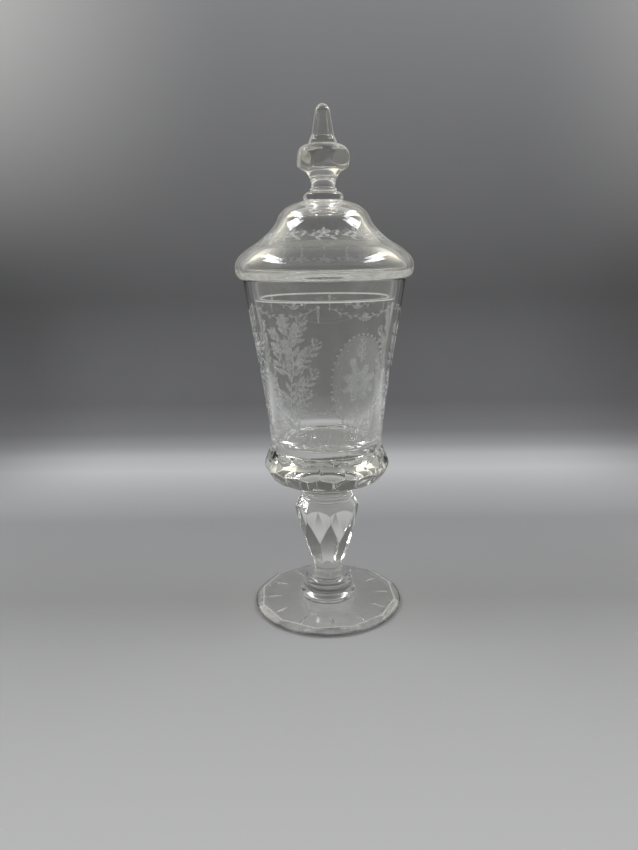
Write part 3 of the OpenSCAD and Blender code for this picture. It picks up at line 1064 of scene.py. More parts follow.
@dataclass
class Bowl:
    """A bulging calyx with three rows of facets, and the thick conical bowl above it."""

    calyx_foot_r: float = 16.7
    knee_r: float = 19.4
    neck_h: float = 5.1
    calyx_h: float = 31.5
    belly_r: float = 40.8
    belly_z: float = 18.9
    top_r: float = 36.3
    facets: int = 16
    facet_turn: float = -85.0
    facet_depth: float = 0.7
    ridge: float = 0.24
    base_r: float = 35.6
    height: float = 105.5
    rim_r: float = 49.6
    rim_wall: float = 4.0
    rim_chamfer: float = 0.6
    base_wall: float = 8.4
    floor: float = 1.8
    floor_round: float = 7.5
    floor_end: float = 2.0
    sectors: int = 288
    calyx_sectors: int = 640
    calyx_pitch: float = 0.34

    def wall(self) -> Line:
        """The bowl's outer outline, from the calyx to the rim's chamfer."""
        rim = (self.rim_r, self.height - self.rim_chamfer)
        return bend((self.base_r, 0.0), rim, (0.07, 0.27), (0.59, 0.62), 72)

    def cavity_r(self, height: float) -> float:
        """Radius of the cavity at a height above the calyx, in millimetres."""
        low, high = self.base_r - self.base_wall, self.rim_r - self.rim_wall
        return low + (high - low) * height / self.height

    def facet_row(self, at: np.ndarray, low: Point, high: Point, turn: float) -> FacetRow:
        """A row of facets sunk under a point of the calyx's round.

        Args:
            at: The point of the round.
            low: A point below, which gives the facets' tilt with the next.
            high: A point above.
            turn: Angle of one facet, in degrees.

        Returns:
            The row.
        """
        tilt = lean(low, high)
        slope = math.radians(tilt)
        sunk = at - self.facet_depth * np.array([math.cos(slope), math.sin(slope)])
        return FacetRow(self.facets, turn, float(sunk[0]), float(sunk[1]), tilt)

    def calyx(self) -> bpy.types.Object:
        """Builds the calyx.

        Returns:
            The calyx.
        """
        foot, knee = (self.calyx_foot_r, 0.0), (self.knee_r, self.neck_h)
        belly, top = (self.belly_r, self.belly_z), (self.top_r, self.calyx_h)
        under = bend(knee, belly, (0.64, 0.18), (0.84, 0.43), 80)
        over = bend(belly, top, (0, 0.35), (0.7, 0.63), 80)
        half = self.facet_turn + 180 / self.facets
        # each row lies at a step of its outline, of 80 in all
        rows = [
            self.facet_row(over[40], belly, top, self.facet_turn),
            self.facet_row(under[60], tuple(under[60]), belly, half),
            self.facet_row(under[30], tuple(under[10]), tuple(under[50]), self.facet_turn),
        ]
        skin = Skin("bowl_calyx", self.calyx_sectors)
        skin.pole(0.0)
        skin.ring(self.calyx_foot_r, 0.0, Layer.JOINT)
        skin.line(bend(foot, knee, (0.05, 0.5), (0.4, 0.9), 12)[1:-1])
        for radius, height in even(joined(under, over), self.calyx_pitch):
            # the facet edges wear the painted glint line
            worn = skin.ridges(radius, height, rows, self.ridge)
            skin.ring(skin.carved(radius, height, rows), height, Layer.GLASS, worn)
        skin.ring(self.base_r, self.calyx_h)
        skin.pole(self.calyx_h, Layer.JOINT)
        return skin.build(CALYX_SET)

    def bowl(self) -> bpy.types.Object:
        """Builds the bowl: a thick wall, an eased rim and a cavity with a rounded floor.

        Returns:
            The bowl.
        """
        edge, top = self.height - self.rim_chamfer, self.height
        outer, inner = self.rim_r - self.rim_chamfer, self.rim_r - self.rim_wall
        round_z = self.floor + self.floor_round
        corner = self.cavity_r(round_z)
        flat_r = corner - self.floor_round
        cone = np.linspace((self.cavity_r(edge), edge), (corner, round_z), 40)
        floor_edge = bend((corner, round_z), (flat_r, self.floor), (0.1, 0.6), (0.4, 1.0), 20)
        floor = np.linspace((flat_r, self.floor), (self.floor_end, self.floor), 8)
        skin = Skin("bowl", self.sectors)
        skin.pole(0.0)
        skin.ring(self.base_r, 0.0, Layer.JOINT)
        skin.line(self.wall()[1:])
        skin.line(bend((self.rim_r, edge), (outer, top), (0, 0.55), (0.45, 1), 6)[1:])
        skin.line(bend((inner + self.rim_chamfer, top), (inner, edge), (0.55, 0), (1, 0.45), 6))
        skin.line(joined(cone, floor_edge, floor)[1:])
        skin.pole(self.floor)
        return skin.build(CLEAR_SET)

    def build(self) -> None:
        """Builds and settles the bowl's pieces."""
        settle(self.calyx(), Body.GOBLET, Slot.CUT, "bowl_calyx")
        settle(self.bowl(), Body.GOBLET, Slot.CLEAR, "bowl")


@dataclass
class Cover:
    """A domed cover with a rounded lip, and the flange that drops inside the rim."""

    seat_r: float = 50.7
    lip_r: float = 54.28
    lip_z: float = 6.6
    flare_r: float = 43.0
    flare_z: float = 20.0
    dome_r: float = 27.6
    dome_z: float = 35.4
    top_r: float = 12.5
    height: float = 44.8
    wall: float = 5.2
    web: float = 4.2
    bore_r: float = 42.0
    bore_low_r: float = 39.91
    flange_r: float = 45.2
    flange_low_r: float = 43.11
    flange_depth: float = 12.0
    edge: float = 0.8
    button_r: float = 11.5
    ledge_w: float = 1.6
    ledge_h: float = 0.6
    crown_rise: float = 0.35
    seat_step: float = 0.3
    hollow_pitch: float = 0.8
    sectors: int = 288

    def above_lip(self) -> Line:
        """The outer outline from the lip to the finial.

        Returns:
            Rows of radius and height.
        """
        lip, flare = (self.lip_r, self.lip_z), (self.flare_r, self.flare_z)
        shoulder, top = (self.dome_r, self.dome_z), (self.top_r, self.height)
        return joined(
            bend(lip, flare, (0, 0.44), (0.47, 0.75)),
            bend(flare, shoulder, (0.39, 0.22), (0.86, 0.64), 32),
            bend(shoulder, top, (0.12, 0.48), (0.47, 0.87)),
        )

    def dome(self) -> bpy.types.Object:
        """Builds the dome with its hollow.

        Returns:
            The dome.
        """
        outer = self.above_lip()
        hollow = even(inside_of(outer, self.wall), self.hollow_pitch)[::-1]
        ledge = (self.bore_r + self.ledge_w, self.web)
        hollow = joined(
            hollow, bend(hollow[-1], ledge, (0, 0.7), (0.35, 1)),
            bend(ledge, (self.bore_r, self.ledge_h), (0.7, 0), (1, 0.3), 12),
        )
        crown = bend((0.0, hollow[0][1] + self.crown_rise), hollow[0], (0.4, 0.0), (0.8, 0.6), 10)
        skin = Skin("cover_dome", self.sectors)
        skin.pole(float(crown[0][1]))
        skin.line(joined(crown[1:], hollow))
        skin.ring(self.bore_r, 0.0)
        skin.ring(self.flange_r, 0.0, Layer.JOINT)
        skin.ring(self.flange_r + self.seat_step, SEAT)
        skin.ring(self.seat_r, SEAT)
        skin.line(bend((self.seat_r, SEAT), (self.lip_r, self.lip_z), (0.72, 0.1), (1, 0.5))[1:])
        skin.line(outer[1:])
        skin.ring(self.button_r, self.height)
        skin.pole(self.height, Layer.JOINT)
        return skin.build(DOME_SET)

    def flange(self) -> bpy.types.Object:
        """Builds the flange, whose lower edge is ground.

        Returns:
            The flange.
        """
        low, depth, ease = self.flange_low_r, -self.flange_depth, self.edge
        skin = Skin("cover_flange", self.sectors, self.flange_depth)
        slope = (self.flange_r - low) / self.flange_depth
        start = (self.bore_low_r + slope * ease, depth + ease)
        end = (low + slope * ease, depth + ease)
        skin.ring(*start)
        skin.line(bend(start, (self.bore_low_r + ease, depth), (0, 0.5), (0.5, 1), 6)[1:], Layer.GROUND)
        skin.ring(low - ease, depth, Layer.GROUND)
        skin.line(bend((low - ease, depth), end, (0.5, 0), (1, 0.5), 6)[1:], Layer.GROUND)
        skin.line(np.linspace(end, (self.flange_r, 0.0), 12)[1:])
        skin.ring(self.bore_r, 0.0, Layer.JOINT)
        skin.line(np.linspace((self.bore_r, 0.0), start, 8)[1:-1])
        return skin.build(CLEAR_SET, looped=True)

    def build(self) -> None:
        """Builds and settles the cover's pieces."""
        settle(self.flange(), Body.COVER, Slot.CLEAR, "cover_flange")
        settle(self.dome(), Body.COVER, Slot.CLEAR, "cover_dome")


@dataclass
class Finial:
    """A button, a neck, a knop with six flats and a hexagonal spire."""

    button_r: float = 12.0
    button_h: float = 5.6
    button_belly_z: float = 2.4
    bead_r: float = 8.0
    bead_h: float = 2.2
    waist_r: float = 7.1
    neck_top_r: float = 11.2
    neck_h: float = 11.8
    knop_r: float = 16.3
    knop_belly_z: float = 5.8
    knop_h: float = 14.2
    knop_flats: int = 6
    knop_depth: float = 1.9
    knop_turn: float = -109.0
    knop_tilt: float = 4.0
    spire_foot_r: float = 8.2
    spire_foot_h: float = 1.2
    spire_sides: int = 6
    spire_flare_h: float = 4.2
    spire_low_r: float = 6.5
    spire_high_r: float = 4.6
    spire_point_z: float = 16.2
    spire_h: float = 22.1
    tip_r: float = 0.9
    edge_share: float = 0.97
    edge_rise: float = 0.5
    edge_ease: float = 0.06
    joint_step: float = 0.5
    pitch: float = 0.2
    knop_sectors: int = 384
    spire_sectors: int = 288

    def button(self) -> bpy.types.Object:
        """Builds the button, a flattened ball.

        Returns:
            The button.
        """
        start = (self.button_r - self.joint_step, 0.0)
        belly = (self.button_r, self.button_belly_z)
        top = (self.bead_r + self.joint_step, self.button_h)
        rows = joined(
            bend(start, belly, (0.6, 0.1), (1, 0.5)),
            bend(belly, top, (0, 0.57), (0.54, 0.97)),
        )
        return turned("finial_button", rows, self.bead_r - self.joint_step)

    def neck(self) -> bpy.types.Object:
        """Builds the neck: a bead and a widening waist.

        Returns:
            The neck.
        """
        start = (self.bead_r - self.joint_step, 0.0)
        bead, waist = (self.bead_r, self.bead_h / 2), (self.waist_r, self.bead_h)
        top = (self.neck_top_r, self.neck_h)
        rows = joined(
            bend(start, bead, (0.8, 0.2), (1, 0.6)),
            bend(bead, waist, (0, 0.5), (0.4, 1)),
            bend(waist, top, (0, 0.45), (0.4, 0.82)),
        )
        return turned("finial_neck", rows, self.neck_top_r)

    def knop(self) -> bpy.types.Object:
        """Builds the knop, a cushion with large flats.

        Returns:
            The knop.
        """
        start = (self.neck_top_r + self.joint_step, 0.0)
        belly = (self.knop_r, self.knop_belly_z)
        top = (self.spire_foot_r + self.joint_step, self.knop_h)
        rows = even(joined(
            bend(start, belly, (0.6, 0.1), (1, 0.5), 60), bend(belly, top, (0, 0.6), (0.5, 1), 60)
        ), self.pitch)
        flat_r = self.knop_r - self.knop_depth
        flats = FacetRow(self.knop_flats, self.knop_turn, flat_r, self.knop_belly_z, self.knop_tilt)
        skin = Skin("finial_knop", self.knop_sectors)
        skin.pole(0.0)
        skin.ring(self.neck_top_r, 0.0, Layer.JOINT)
        for radius, height in rows:
            skin.ring(skin.carved(radius, height, [flats]), height)
        skin.ring(self.spire_foot_r, self.knop_h)
        skin.pole(self.knop_h, Layer.JOINT)
        return skin.build(FINIAL_SET)

    def spire(self) -> bpy.types.Object:
        """Builds the spire: a flared round foot, long sides and a blunt point.

        Returns:
            The spire.
        """
        corner = self.edge_share / math.cos(math.pi / self.spire_sides)
        flare = (self.spire_low_r * corner, self.spire_flare_h + self.edge_rise)
        point = (self.spire_high_r * corner, self.spire_point_z + self.edge_rise)
        tip = (self.tip_r, self.spire_h)
        rows = even(joined(
            [(self.spire_foot_r, 0.0), (self.spire_foot_r, self.spire_foot_h), flare],
            bend(point, tip, (0.12, 0.42), (0.62, 0.95), 40),
        ), self.pitch)
        draft = (self.spire_low_r - self.spire_high_r) / (self.spire_point_z - self.spire_flare_h)
        sides = np.array([
            (self.spire_foot_r + self.joint_step, self.spire_foot_h),
            (self.spire_low_r, self.spire_flare_h),
            (self.spire_low_r - draft * (self.spire_h - self.spire_flare_h), self.spire_h),
        ])
        skin = Skin("finial_spire", self.spire_sectors)
        fold = FacetRow(self.spire_sides, 180 / self.spire_sides - 90).fold(skin.angle)
        skin.pole(0.0)
        skin.ring(self.spire_foot_r, 0.0, Layer.JOINT)
        for radius, height in rows[1:]:
            side = np.interp(height, sides[:, 1], sides[:, 0], left=2 * self.spire_foot_r)
            skin.ring(eased_min(radius, side / np.cos(fold), self.edge_ease), height)
        skin.pole(self.spire_h)
        return skin.build(FINIAL_SET)

    def build(self) -> None:
        """Builds and settles the finial's pieces."""
        settle(self.button(), Body.COVER, Slot.CLEAR, "finial_button")
        settle(self.neck(), Body.COVER, Slot.CLEAR, "finial_neck")
        settle(self.knop(), Body.COVER, Slot.CUT, "finial_knop")
        settle(self.spire(), Body.COVER, Slot.CUT, "finial_spire")


class Frost(Enum):
    """How deep the wheel has bitten, from a thin veil to a white stroke."""

    VEIL = 0
    SOFT = 1
    BRIGHT = 2


FROSTS = {
    Frost.VEIL: GroundFinish("engraved_veil", veil=0.16, veil_swing=0.08),
    Frost.SOFT: GroundFinish("engraved_frost", veil=0.30, veil_swing=0.18),
    Frost.BRIGHT: GroundFinish("engraved_line", veil=0.52, veil_swing=0.24),
}


class Stroke(Enum):
    """The shapes that the engraver's wheel leaves."""

    LEAF = "leaf"
    PETAL = "petal"
    STEM = "stem"
    BEAD = "bead"
    GRASS = "grass"

    def width(self, u: np.ndarray) -> np.ndarray:
        """Share of the full width along a stroke.

        Args:
            u: Places from 0 at the root to 1 at the tip.

        Returns:
            The share at each place.
        """
        ends = np.sqrt(np.clip(1.0 - (2.0 * u - 1.0) ** 2, 0.0, 1.0))
        if self is Stroke.LEAF:
            return ends * (1.25 - 0.75 * u) * (1.0 - 0.12 * np.abs(np.sin(9.0 * u)))
        if self is Stroke.PETAL:
            return ends * (0.25 + 0.85 * u)
        if self is Stroke.STEM:
            return np.where(ends > 0.0, 1.0 - 0.5 * u, 0.3)
        if self is Stroke.GRASS:
            return 0.15 + 0.85 * (1.0 - u) * np.minimum(1.0, 5.0 * u + 0.2)
        return ends


@dataclass(frozen=True)
class Blade:
    """One stroke of the design, drawn flat: across and up in millimetres, angles in degrees."""

    root: Point
    length: float
    angle: float
    width: float
    curl: float = 0.0
    stroke: Stroke = Stroke.LEAF
    frost: Frost = Frost.SOFT
    marks: int = 24

    @classmethod
    def vein(cls, root: Point, length: float, angle: float, width: float, curl: float = 0.0) -> "Blade":
        """A fine bright line."""
        return cls(root, length, angle, width, curl, Stroke.STEM, Frost.BRIGHT)

    def path(self, steps: int) -> tuple[np.ndarray, np.ndarray]:
        """The stroke's middle line.

        Args:
            steps: Segments along the stroke.

        Returns:
            Its points and its headings in radians.
        """
        u = np.linspace(0.0, 1.0, steps + 1)
        heading = np.radians(self.angle + self.curl * u)
        middle = (heading[1:] + heading[:-1]) / 2
        step = self.length / steps * np.column_stack([np.cos(middle), np.sin(middle)])
        return np.array(self.root) + np.vstack([[0.0, 0.0], np.cumsum(step, axis=0)]), heading

    def at(self, u: float) -> tuple[Point, float]:
        """Finds the mark of the stroke that is nearest to a share of its way.

        Args:
            u: Share of the way from the root to the tip.

        Returns:
            The point, and the heading in degrees.
        """
        points, heading = self.path(self.marks)
        k = int(round(self.marks * u))
        return (float(points[k][0]), float(points[k][1])), math.degrees(float(heading[k]))


@dataclass
class Design:
    """A flat design put together from strokes."""

    blades: list[Blade] = field(default_factory=list)
    petal_w: float = 2.4
    petal_least: float = 0.9
    petal_curl: float = 6.0
    eye: float = 0.22
    leaf_w: float = 0.46
    leaf_curl: float = 28.0
    leaf_taper: float = 0.45
    leaf_rib: float = 0.8
    rib_w: float = 0.28
    stalk_w: float = 0.3
    stalk_turn: float = 34.0
    berry_r: float = 0.85

    def add(self, *blades: Blade) -> None:
        """Adds strokes."""
        self.blades.extend(blades)

    def rosette(self, middle: Point, radius: float, petals: int, turn: float = 90.0) -> None:
        """Adds a round flower.

        Args:
            middle: Its middle.
            radius: Length of its petals.
            petals: Number of petals.
            turn: Angle of the first petal.
        """
        width = self.petal_w * radius / petals + self.petal_least
        for k in range(petals):
            angle = turn + 360.0 * k / petals
            self.add(Blade(middle, radius, angle, width, self.petal_curl, Stroke.PETAL))
        self.bead(middle, self.eye * radius, Frost.BRIGHT)

    def bead(self, middle: Point, radius: float, frost: Frost = Frost.SOFT) -> None:
        """Adds a round dot."""
        root = (middle[0] - radius, middle[1])
        self.add(Blade(root, 2 * radius, 0.0, 2 * radius, 0.0, Stroke.BEAD, frost))

    def twig(self, stem: Blade, pairs: int, leaf: float, spread: float = 50.0,
             first: float = 0.14) -> None:
        """Adds a stem with leaves on both sides.

        Args:
            stem: The stem.
            pairs: Leaves on each side.
            leaf: Length of the lowest leaves.
            spread: Angle between a leaf and the stem.
            first: Share of the stem where the leaves begin.
        """
        self.add(stem)
        for k in range(2 * pairs):
            share = first + (1.0 - first) * k / (2 * pairs - 1)
            root, heading = stem.at(share)
            side = 1.0 if k % 2 else -1.0
            size = leaf * (1.0 - self.leaf_taper * share) * (0.9 + 0.2 * math.sin(2.3 * k))
            way, curl = heading + side * spread, -side * self.leaf_curl
            self.add(Blade(root, size, way, self.leaf_w * size, curl))
            self.add(Blade.vein(root, self.leaf_rib * size, way, self.rib_w, curl))

    def berries(self, root: Point, heading: float, reach: float) -> None:
        """Adds three berries on short stalks.

        Args:
            root: Where the stalks begin.
            heading: Direction of the middle stalk.
            reach: Length of the stalks.
        """
        for turn in (-self.stalk_turn, 0.0, self.stalk_turn):
            stalk = Blade.vein(root, reach, heading + turn, self.stalk_w)
            self.add(stalk)
            self.bead(stalk.at(1.0)[0], self.berry_r)


@dataclass
class Sheet:
    """A turned face of the glass on which a flat design is laid."""

    line: Line
    lift: float = 0.03
    relief: float = 0.05

    def __post_init__(self) -> None:
        """Measures the way along the outline, and pairs of place and outward direction."""
        self.run = np.r_[0.0, np.cumsum(np.linalg.norm(np.diff(self.line, axis=0), axis=1))]
        along = np.gradient(self.line, axis=0)
        along /= np.linalg.norm(along, axis=1)[:, None]
        self.pairs = list(zip(self.line.T, (along[:, 1], -along[:, 0])))

    def lay(self, across: np.ndarray, up: np.ndarray, lift: np.ndarray, turn: float,
            middle: float) -> np.ndarray:
        """Places points of the design on the glass.

        Args:
            across: Distance from the design's axis, in millimetres.
            up: Distance along the outline.
            lift: Height above the glass.
            turn: Angle of the design's axis round the goblet, in degrees.
            middle: Distance along the outline at which the design keeps its width.

        Returns:
            Rows of points in millimetres.
        """
        r, z = (
            np.interp(up, self.run, at) + lift * np.interp(up, self.run, out) for at, out in self.pairs
        )
        angle = math.radians(turn) + across / float(np.interp(middle, self.run, self.line[:, 0]))
        return np.column_stack([r * np.cos(angle), r * np.sin(angle), z])


@dataclass
class Engraving:
    """Strokes laid on the glass as thin closed lenses of frost."""

    sheet: Sheet
    points: list[np.ndarray] = field(default_factory=list)
    faces: list[tuple[int, ...]] = field(default_factory=list)
    frosts: list[Frost] = field(default_factory=list)
    count: int = 0
    step: float = 0.9
    steps: tuple[int, int] = (5, 30)
    strip: float = 3.0
    strips: tuple[int, int] = (1, 8)
    ends: Point = (0.02, 0.98)
    rib: float = 0.45

    def cut(self, blade: Blade, turn: float, middle: float) -> None:
        """Lays one stroke on the glass.

        Args:
            blade: The stroke.
            turn: Angle of the design's axis, in degrees.
            middle: Distance along the outline at which the design keeps its width.
        """
        steps = int(np.clip(blade.length / self.step, *self.steps))
        cols = 2 * int(np.clip(math.ceil(blade.width / self.strip), *self.strips)) + 1
        middle_line, heading = blade.path(steps)
        half = blade.width / 2 * blade.stroke.width(np.linspace(*self.ends, steps + 1))
        side = np.linspace(-1.0, 1.0, cols)
        place_on = np.r_[side, side[-2:0:-1]]
        dome = self.sheet.relief * (1.0 - side**2) * (1.0 - self.rib + self.rib * np.abs(side))
        lift = self.sheet.lift + np.r_[dome, np.zeros(cols - 2)]
        normal = np.column_stack([-np.sin(heading), np.cos(heading)])
        rim = len(place_on)
        flat = middle_line[:, None, :] + (half[:, None] * place_on)[..., None] * normal[:, None, :]
        across, up = flat.reshape(-1, 2).T
        laid = self.sheet.lay(across, up, np.tile(lift, steps + 1), turn, middle)
        base = self.count
        self.points.append(laid)
        self.count += len(laid)
        for k in range(steps):
            for j in range(rim):
                i = (j + 1) % rim
                low, high = base + k * rim, base + (k + 1) * rim
                self.faces.append((low + j, high + j, high + i, low + i))
        self.faces.append(tuple(base + j for j in range(rim)))
        self.faces.append(tuple(base + steps * rim + j for j in range(rim - 1, -1, -1)))
        self.frosts.extend([blade.frost] * (steps * rim + 2))

    def lay(self, design: Design, turn: float, middle: float) -> None:
        """Lays a whole design on the glass."""
        for blade in design.blades:
            self.cut(blade, turn, middle)

    def build(self, name: str) -> bpy.types.Object:
        """Makes the mesh object.

        Args:
            name: The piece's name.

        Returns:
            The object, in the scene.
        """
        mesh = bpy.data.meshes.new(name)
        mesh.from_pydata((np.vstack(self.points) * MM).tolist(), [], self.faces)
        WARDROBE.dress(mesh, FROSTS, self.frosts)
        return place(name, mesh)


class Motif(Enum):
    """The large motifs of the bowl's engraving."""

    BRANCH = "branch"
    MEDALLION = "medallion"
    SPRIG = "sprig"


@dataclass
class BowlEngraving:
    """Leafy branches, a medallion and sprigs round the bowl, under swags and above a strip of grass."""

    motifs: tuple[Motif, ...] = (
        Motif.BRANCH, Motif.MEDALLION, Motif.BRANCH, Motif.SPRIG, Motif.SPRIG, Motif.BRANCH
    )
    first: float = -121.0
    middle: float = 50.0
    ground: float = 12.0
    soil: float = 2.5
    tufts: int = 5
    blades: int = 7
    medallion_up: float = 47.0
    medallion_w: float = 33.0
    medallion_h: float = 56.0
    beads: int = 40
    petals: int = 8
    swag_up: float = 92.0
    swag_sag: float = 6.0
    swag_leaves: int = 15
    pitch: float = 44.0

    def branch(self) -> Design:
        """An upright branch with leafy shoots on both sides, berries and flowers.

        Returns:
            The design.
        """
        design = Design()
        low = Blade.vein((3.0, self.ground), length=37.0, angle=110.0, width=0.9, curl=-36.0)
        root, heading = low.at(1.0)
        high = Blade.vein(root, length=34.0, angle=heading, width=0.7, curl=38.0)
        # shoots of each half of the trunk: share of the way up, side and length
        growth = (
            (low, ((0.20, 1.0, 19.0), (0.36, -1.0, 19.0), (0.58, 1.0, 21.0), (0.80, -1.0, 19.0))),
            (high, ((0.06, 1.0, 21.0), (0.30, -1.0, 18.0), (0.50, 1.0, 17.0), (0.72, -1.0, 13.0))),
        )
        for trunk, shoots in growth:
            design.twig(trunk, pairs=6, leaf=10.0)
            for share, side, reach in shoots:
                root, heading = trunk.at(share)
                shoot = Blade.vein(root, reach, heading + side * 64.0, width=0.5, curl=-side * 44.0)
                design.twig(shoot, pairs=4, leaf=9.5)
                tip, way = shoot.at(1.0)
                if side > 0:
                    design.rosette(tip, radius=3.4, petals=7)
                else:
                    design.berries(tip, way, reach=4.0)
        design.rosette(high.at(1.0)[0], radius=4.6, petals=9)
        return design

    def medallion(self) -> Design:
        """A frosted oval with a large flower, a beaded edge and a sprig over and under the flower.

        Returns:
            The design.
        """
        design = Design()
        middle, w, h = (0.0, self.medallion_up), self.medallion_w, self.medallion_h
        design.add(Blade((0.0, middle[1] - h / 2), h, 90.0, w, 0.0, Stroke.BEAD, Frost.VEIL))
        for a in np.arange(self.beads) * 2 * math.pi / self.beads:
            spot = (0.53 * w * math.cos(a), middle[1] + 0.52 * h * math.sin(a))
            design.bead(spot, radius=0.75, frost=Frost.BRIGHT)
        for k in range(self.petals):
            angle = 360.0 * (k + 0.5) / self.petals
            design.add(Blade(middle, length=11.5, angle=angle, width=6.6, stroke=Stroke.PETAL))
            design.add(Blade.vein(middle, length=9.5, angle=angle, width=0.5))
        design.bead(middle, radius=2.2, frost=Frost.BRIGHT)
        for side in (-1.0, 1.0):
            root = (0.0, middle[1] + side * 12.5)
            stem = Blade.vein(root, length=12.0, angle=side * 90.0, width=0.5)
            design.twig(stem, pairs=3, leaf=6.5, spread=48.0)
        for side in (-1.0, 1.0):
            root = (-side * 2.0, self.ground + 2.0)
            stem = Blade.vein(root, length=30.0, angle=90.0 - side * 66.0, width=0.6, curl=side * 60.0)
            design.twig(stem, pairs=5, leaf=7.0)
        return design

    def sprig(self) -> Design:
        """A small upright sprig with one flower.

        Returns:
            The design.
        """
        design = Design()
        stem = Blade.vein((0.0, self.ground + 12.0), length=24.0, angle=98.0, width=0.5, curl=-16.0)
        design.twig(stem, pairs=3, leaf=6.0)
        design.rosette(stem.at(1.0)[0], radius=3.6, petals=8)
        return design

    def swag(self) -> Design:
        """A hanging string of small leaves, with a flower at its lowest point and ribbons at its end.

        Returns:
            The design.
        """
        design = Design()
        half, top = self.pitch / 2, self.swag_up
        for k in range(self.swag_leaves + 1):
            s = -1.0 + 2.0 * k / self.swag_leaves
            spot = (half * s, top - self.swag_sag * (1.0 - s * s))
            slope = math.degrees(math.atan2(2 * self.swag_sag * s, half))
            heading = slope if s < 0 else slope + 180.0
            side = 1.0 if k % 2 else -1.0
            design.add(Blade.vein(spot, length=3.4, angle=heading, width=0.35))
            leaf, way = 3.8 - 1.2 * abs(s), heading + side * 42.0
            design.add(Blade(spot, leaf, way, width=1.4, curl=-side * 20.0))
        design.rosette((0.0, top - self.swag_sag), radius=2.8, petals=7)
        for side in (-1.0, 1.0):
            way, curl = 270.0 + side * 16.0, -side * 40.0
            design.add(Blade.vein((half, top), length=9.0, angle=way, width=0.6, curl=curl))
        design.bead((half, top), radius=1.1, frost=Frost.BRIGHT)
        return design

    def grass(self) -> Design:
        """Tufts on a low ground line.

        Returns:
            The design.
        """
        design = Design()
        soil = self.ground - self.soil
        root = (-self.pitch / 2, soil)
        design.add(Blade(root, self.pitch, angle=0.0, width=0.5, stroke=Stroke.STEM))
        for tuft in range(self.tufts):
            across = self.pitch * ((tuft + 0.5) / self.tufts - 0.5)
            for k in range(self.blades):
                aside = k - self.blades // 2
                long = 7.5 - 0.8 * abs(aside) + math.sin(3.1 * tuft + k)
                root, leaning = (across + 0.5 * aside, soil), 16.0 * aside
                design.add(Blade(root, long, 90.0 - leaning, 0.7, -1.1 * leaning, Stroke.GRASS))
        return design

    def build(self) -> None:
        """Cuts and settles the engraving."""
        wall = Bowl().wall() + np.array([0.0, level("bowl")])
        work = Engraving(Sheet(wall))
        large = {
            Motif.BRANCH: self.branch(), Motif.MEDALLION: self.medallion(), Motif.SPRIG: self.sprig(),
        }
        for k, motif in enumerate(self.motifs):
            turn = self.first + 360.0 * k / len(self.motifs)
            work.lay(large[motif], turn, self.middle)
            work.lay(self.swag(), turn, self.swag_up)
            work.lay(self.grass(), turn, self.ground)
        settle(work.build("bowl_engraving"), Body.GOBLET, Slot.CLEAR)


@dataclass
class CoverEngraving:
    """A garland of small flowers and leaves round the dome of the cover."""

    repeats: int = 12
    first: float = -90.0
    up: float = 28.0
    pitch: float = 17.0

    def garland(self) -> Design:
        """One flower of the garland with its leaves and a tendril.

        Returns:
            The design.
        """
        design = Design()
        half = self.pitch / 2
        design.rosette((0.0, self.up), radius=4.2, petals=5)
        wave = Blade.vein((-half, self.up - 1.5), self.pitch, angle=-24.0, width=0.45, curl=48.0)
        design.add(wave)
        for share, side in ((0.10, 1.0), (0.90, 1.0), (0.30, -1.0), (0.70, -1.0)):
            root, heading = wave.at(share)
            way, curl = heading + side * 62.0, -side * 24.0
            design.add(Blade(root, length=4.6, angle=way, width=2.2, curl=curl))
        design.add(Blade.vein((half, self.up), length=5.0, angle=90.0, width=0.4, curl=150.0))
        return design

    def build(self) -> None:
        """Cuts and settles the engraving."""
        dome = Cover().above_lip() + np.array([0.0, level("cover_dome")])
        work = Engraving(Sheet(dome))
        for k in range(self.repeats):
            work.lay(self.garland(), self.first + 360.0 * k / self.repeats, self.up)
        settle(work.build("cover_engraving"), Body.COVER, Slot.CLEAR)


@dataclass(frozen=True)
class SoftBox:
    """A soft lamp with a rectangular face."""

    name: str
    at: Triple
    towards: Triple
    size: Point
    watts: float
    colour: Colour = (1.0, 1.0, 1.0)

    def hang(self) -> bpy.types.Object:
        """Hangs the lamp.

        Returns:
            The lamp's object.
        """
        lamp = bpy.data.lights.new(self.name, "AREA")
        lamp.shape = "RECTANGLE"
        lamp.size, lamp.size_y = self.size
        lamp.energy = self.watts
        lamp.color = self.colour
        made = bpy.data.objects.new(self.name, lamp)
        bpy.context.scene.collection.objects.link(made)
        made.location = self.at
        way = Vector(self.towards) - Vector(self.at)
        made.rotation_euler = way.to_track_quat("-Z", "Y").to_euler()
        made.visible_camera = False
        return made


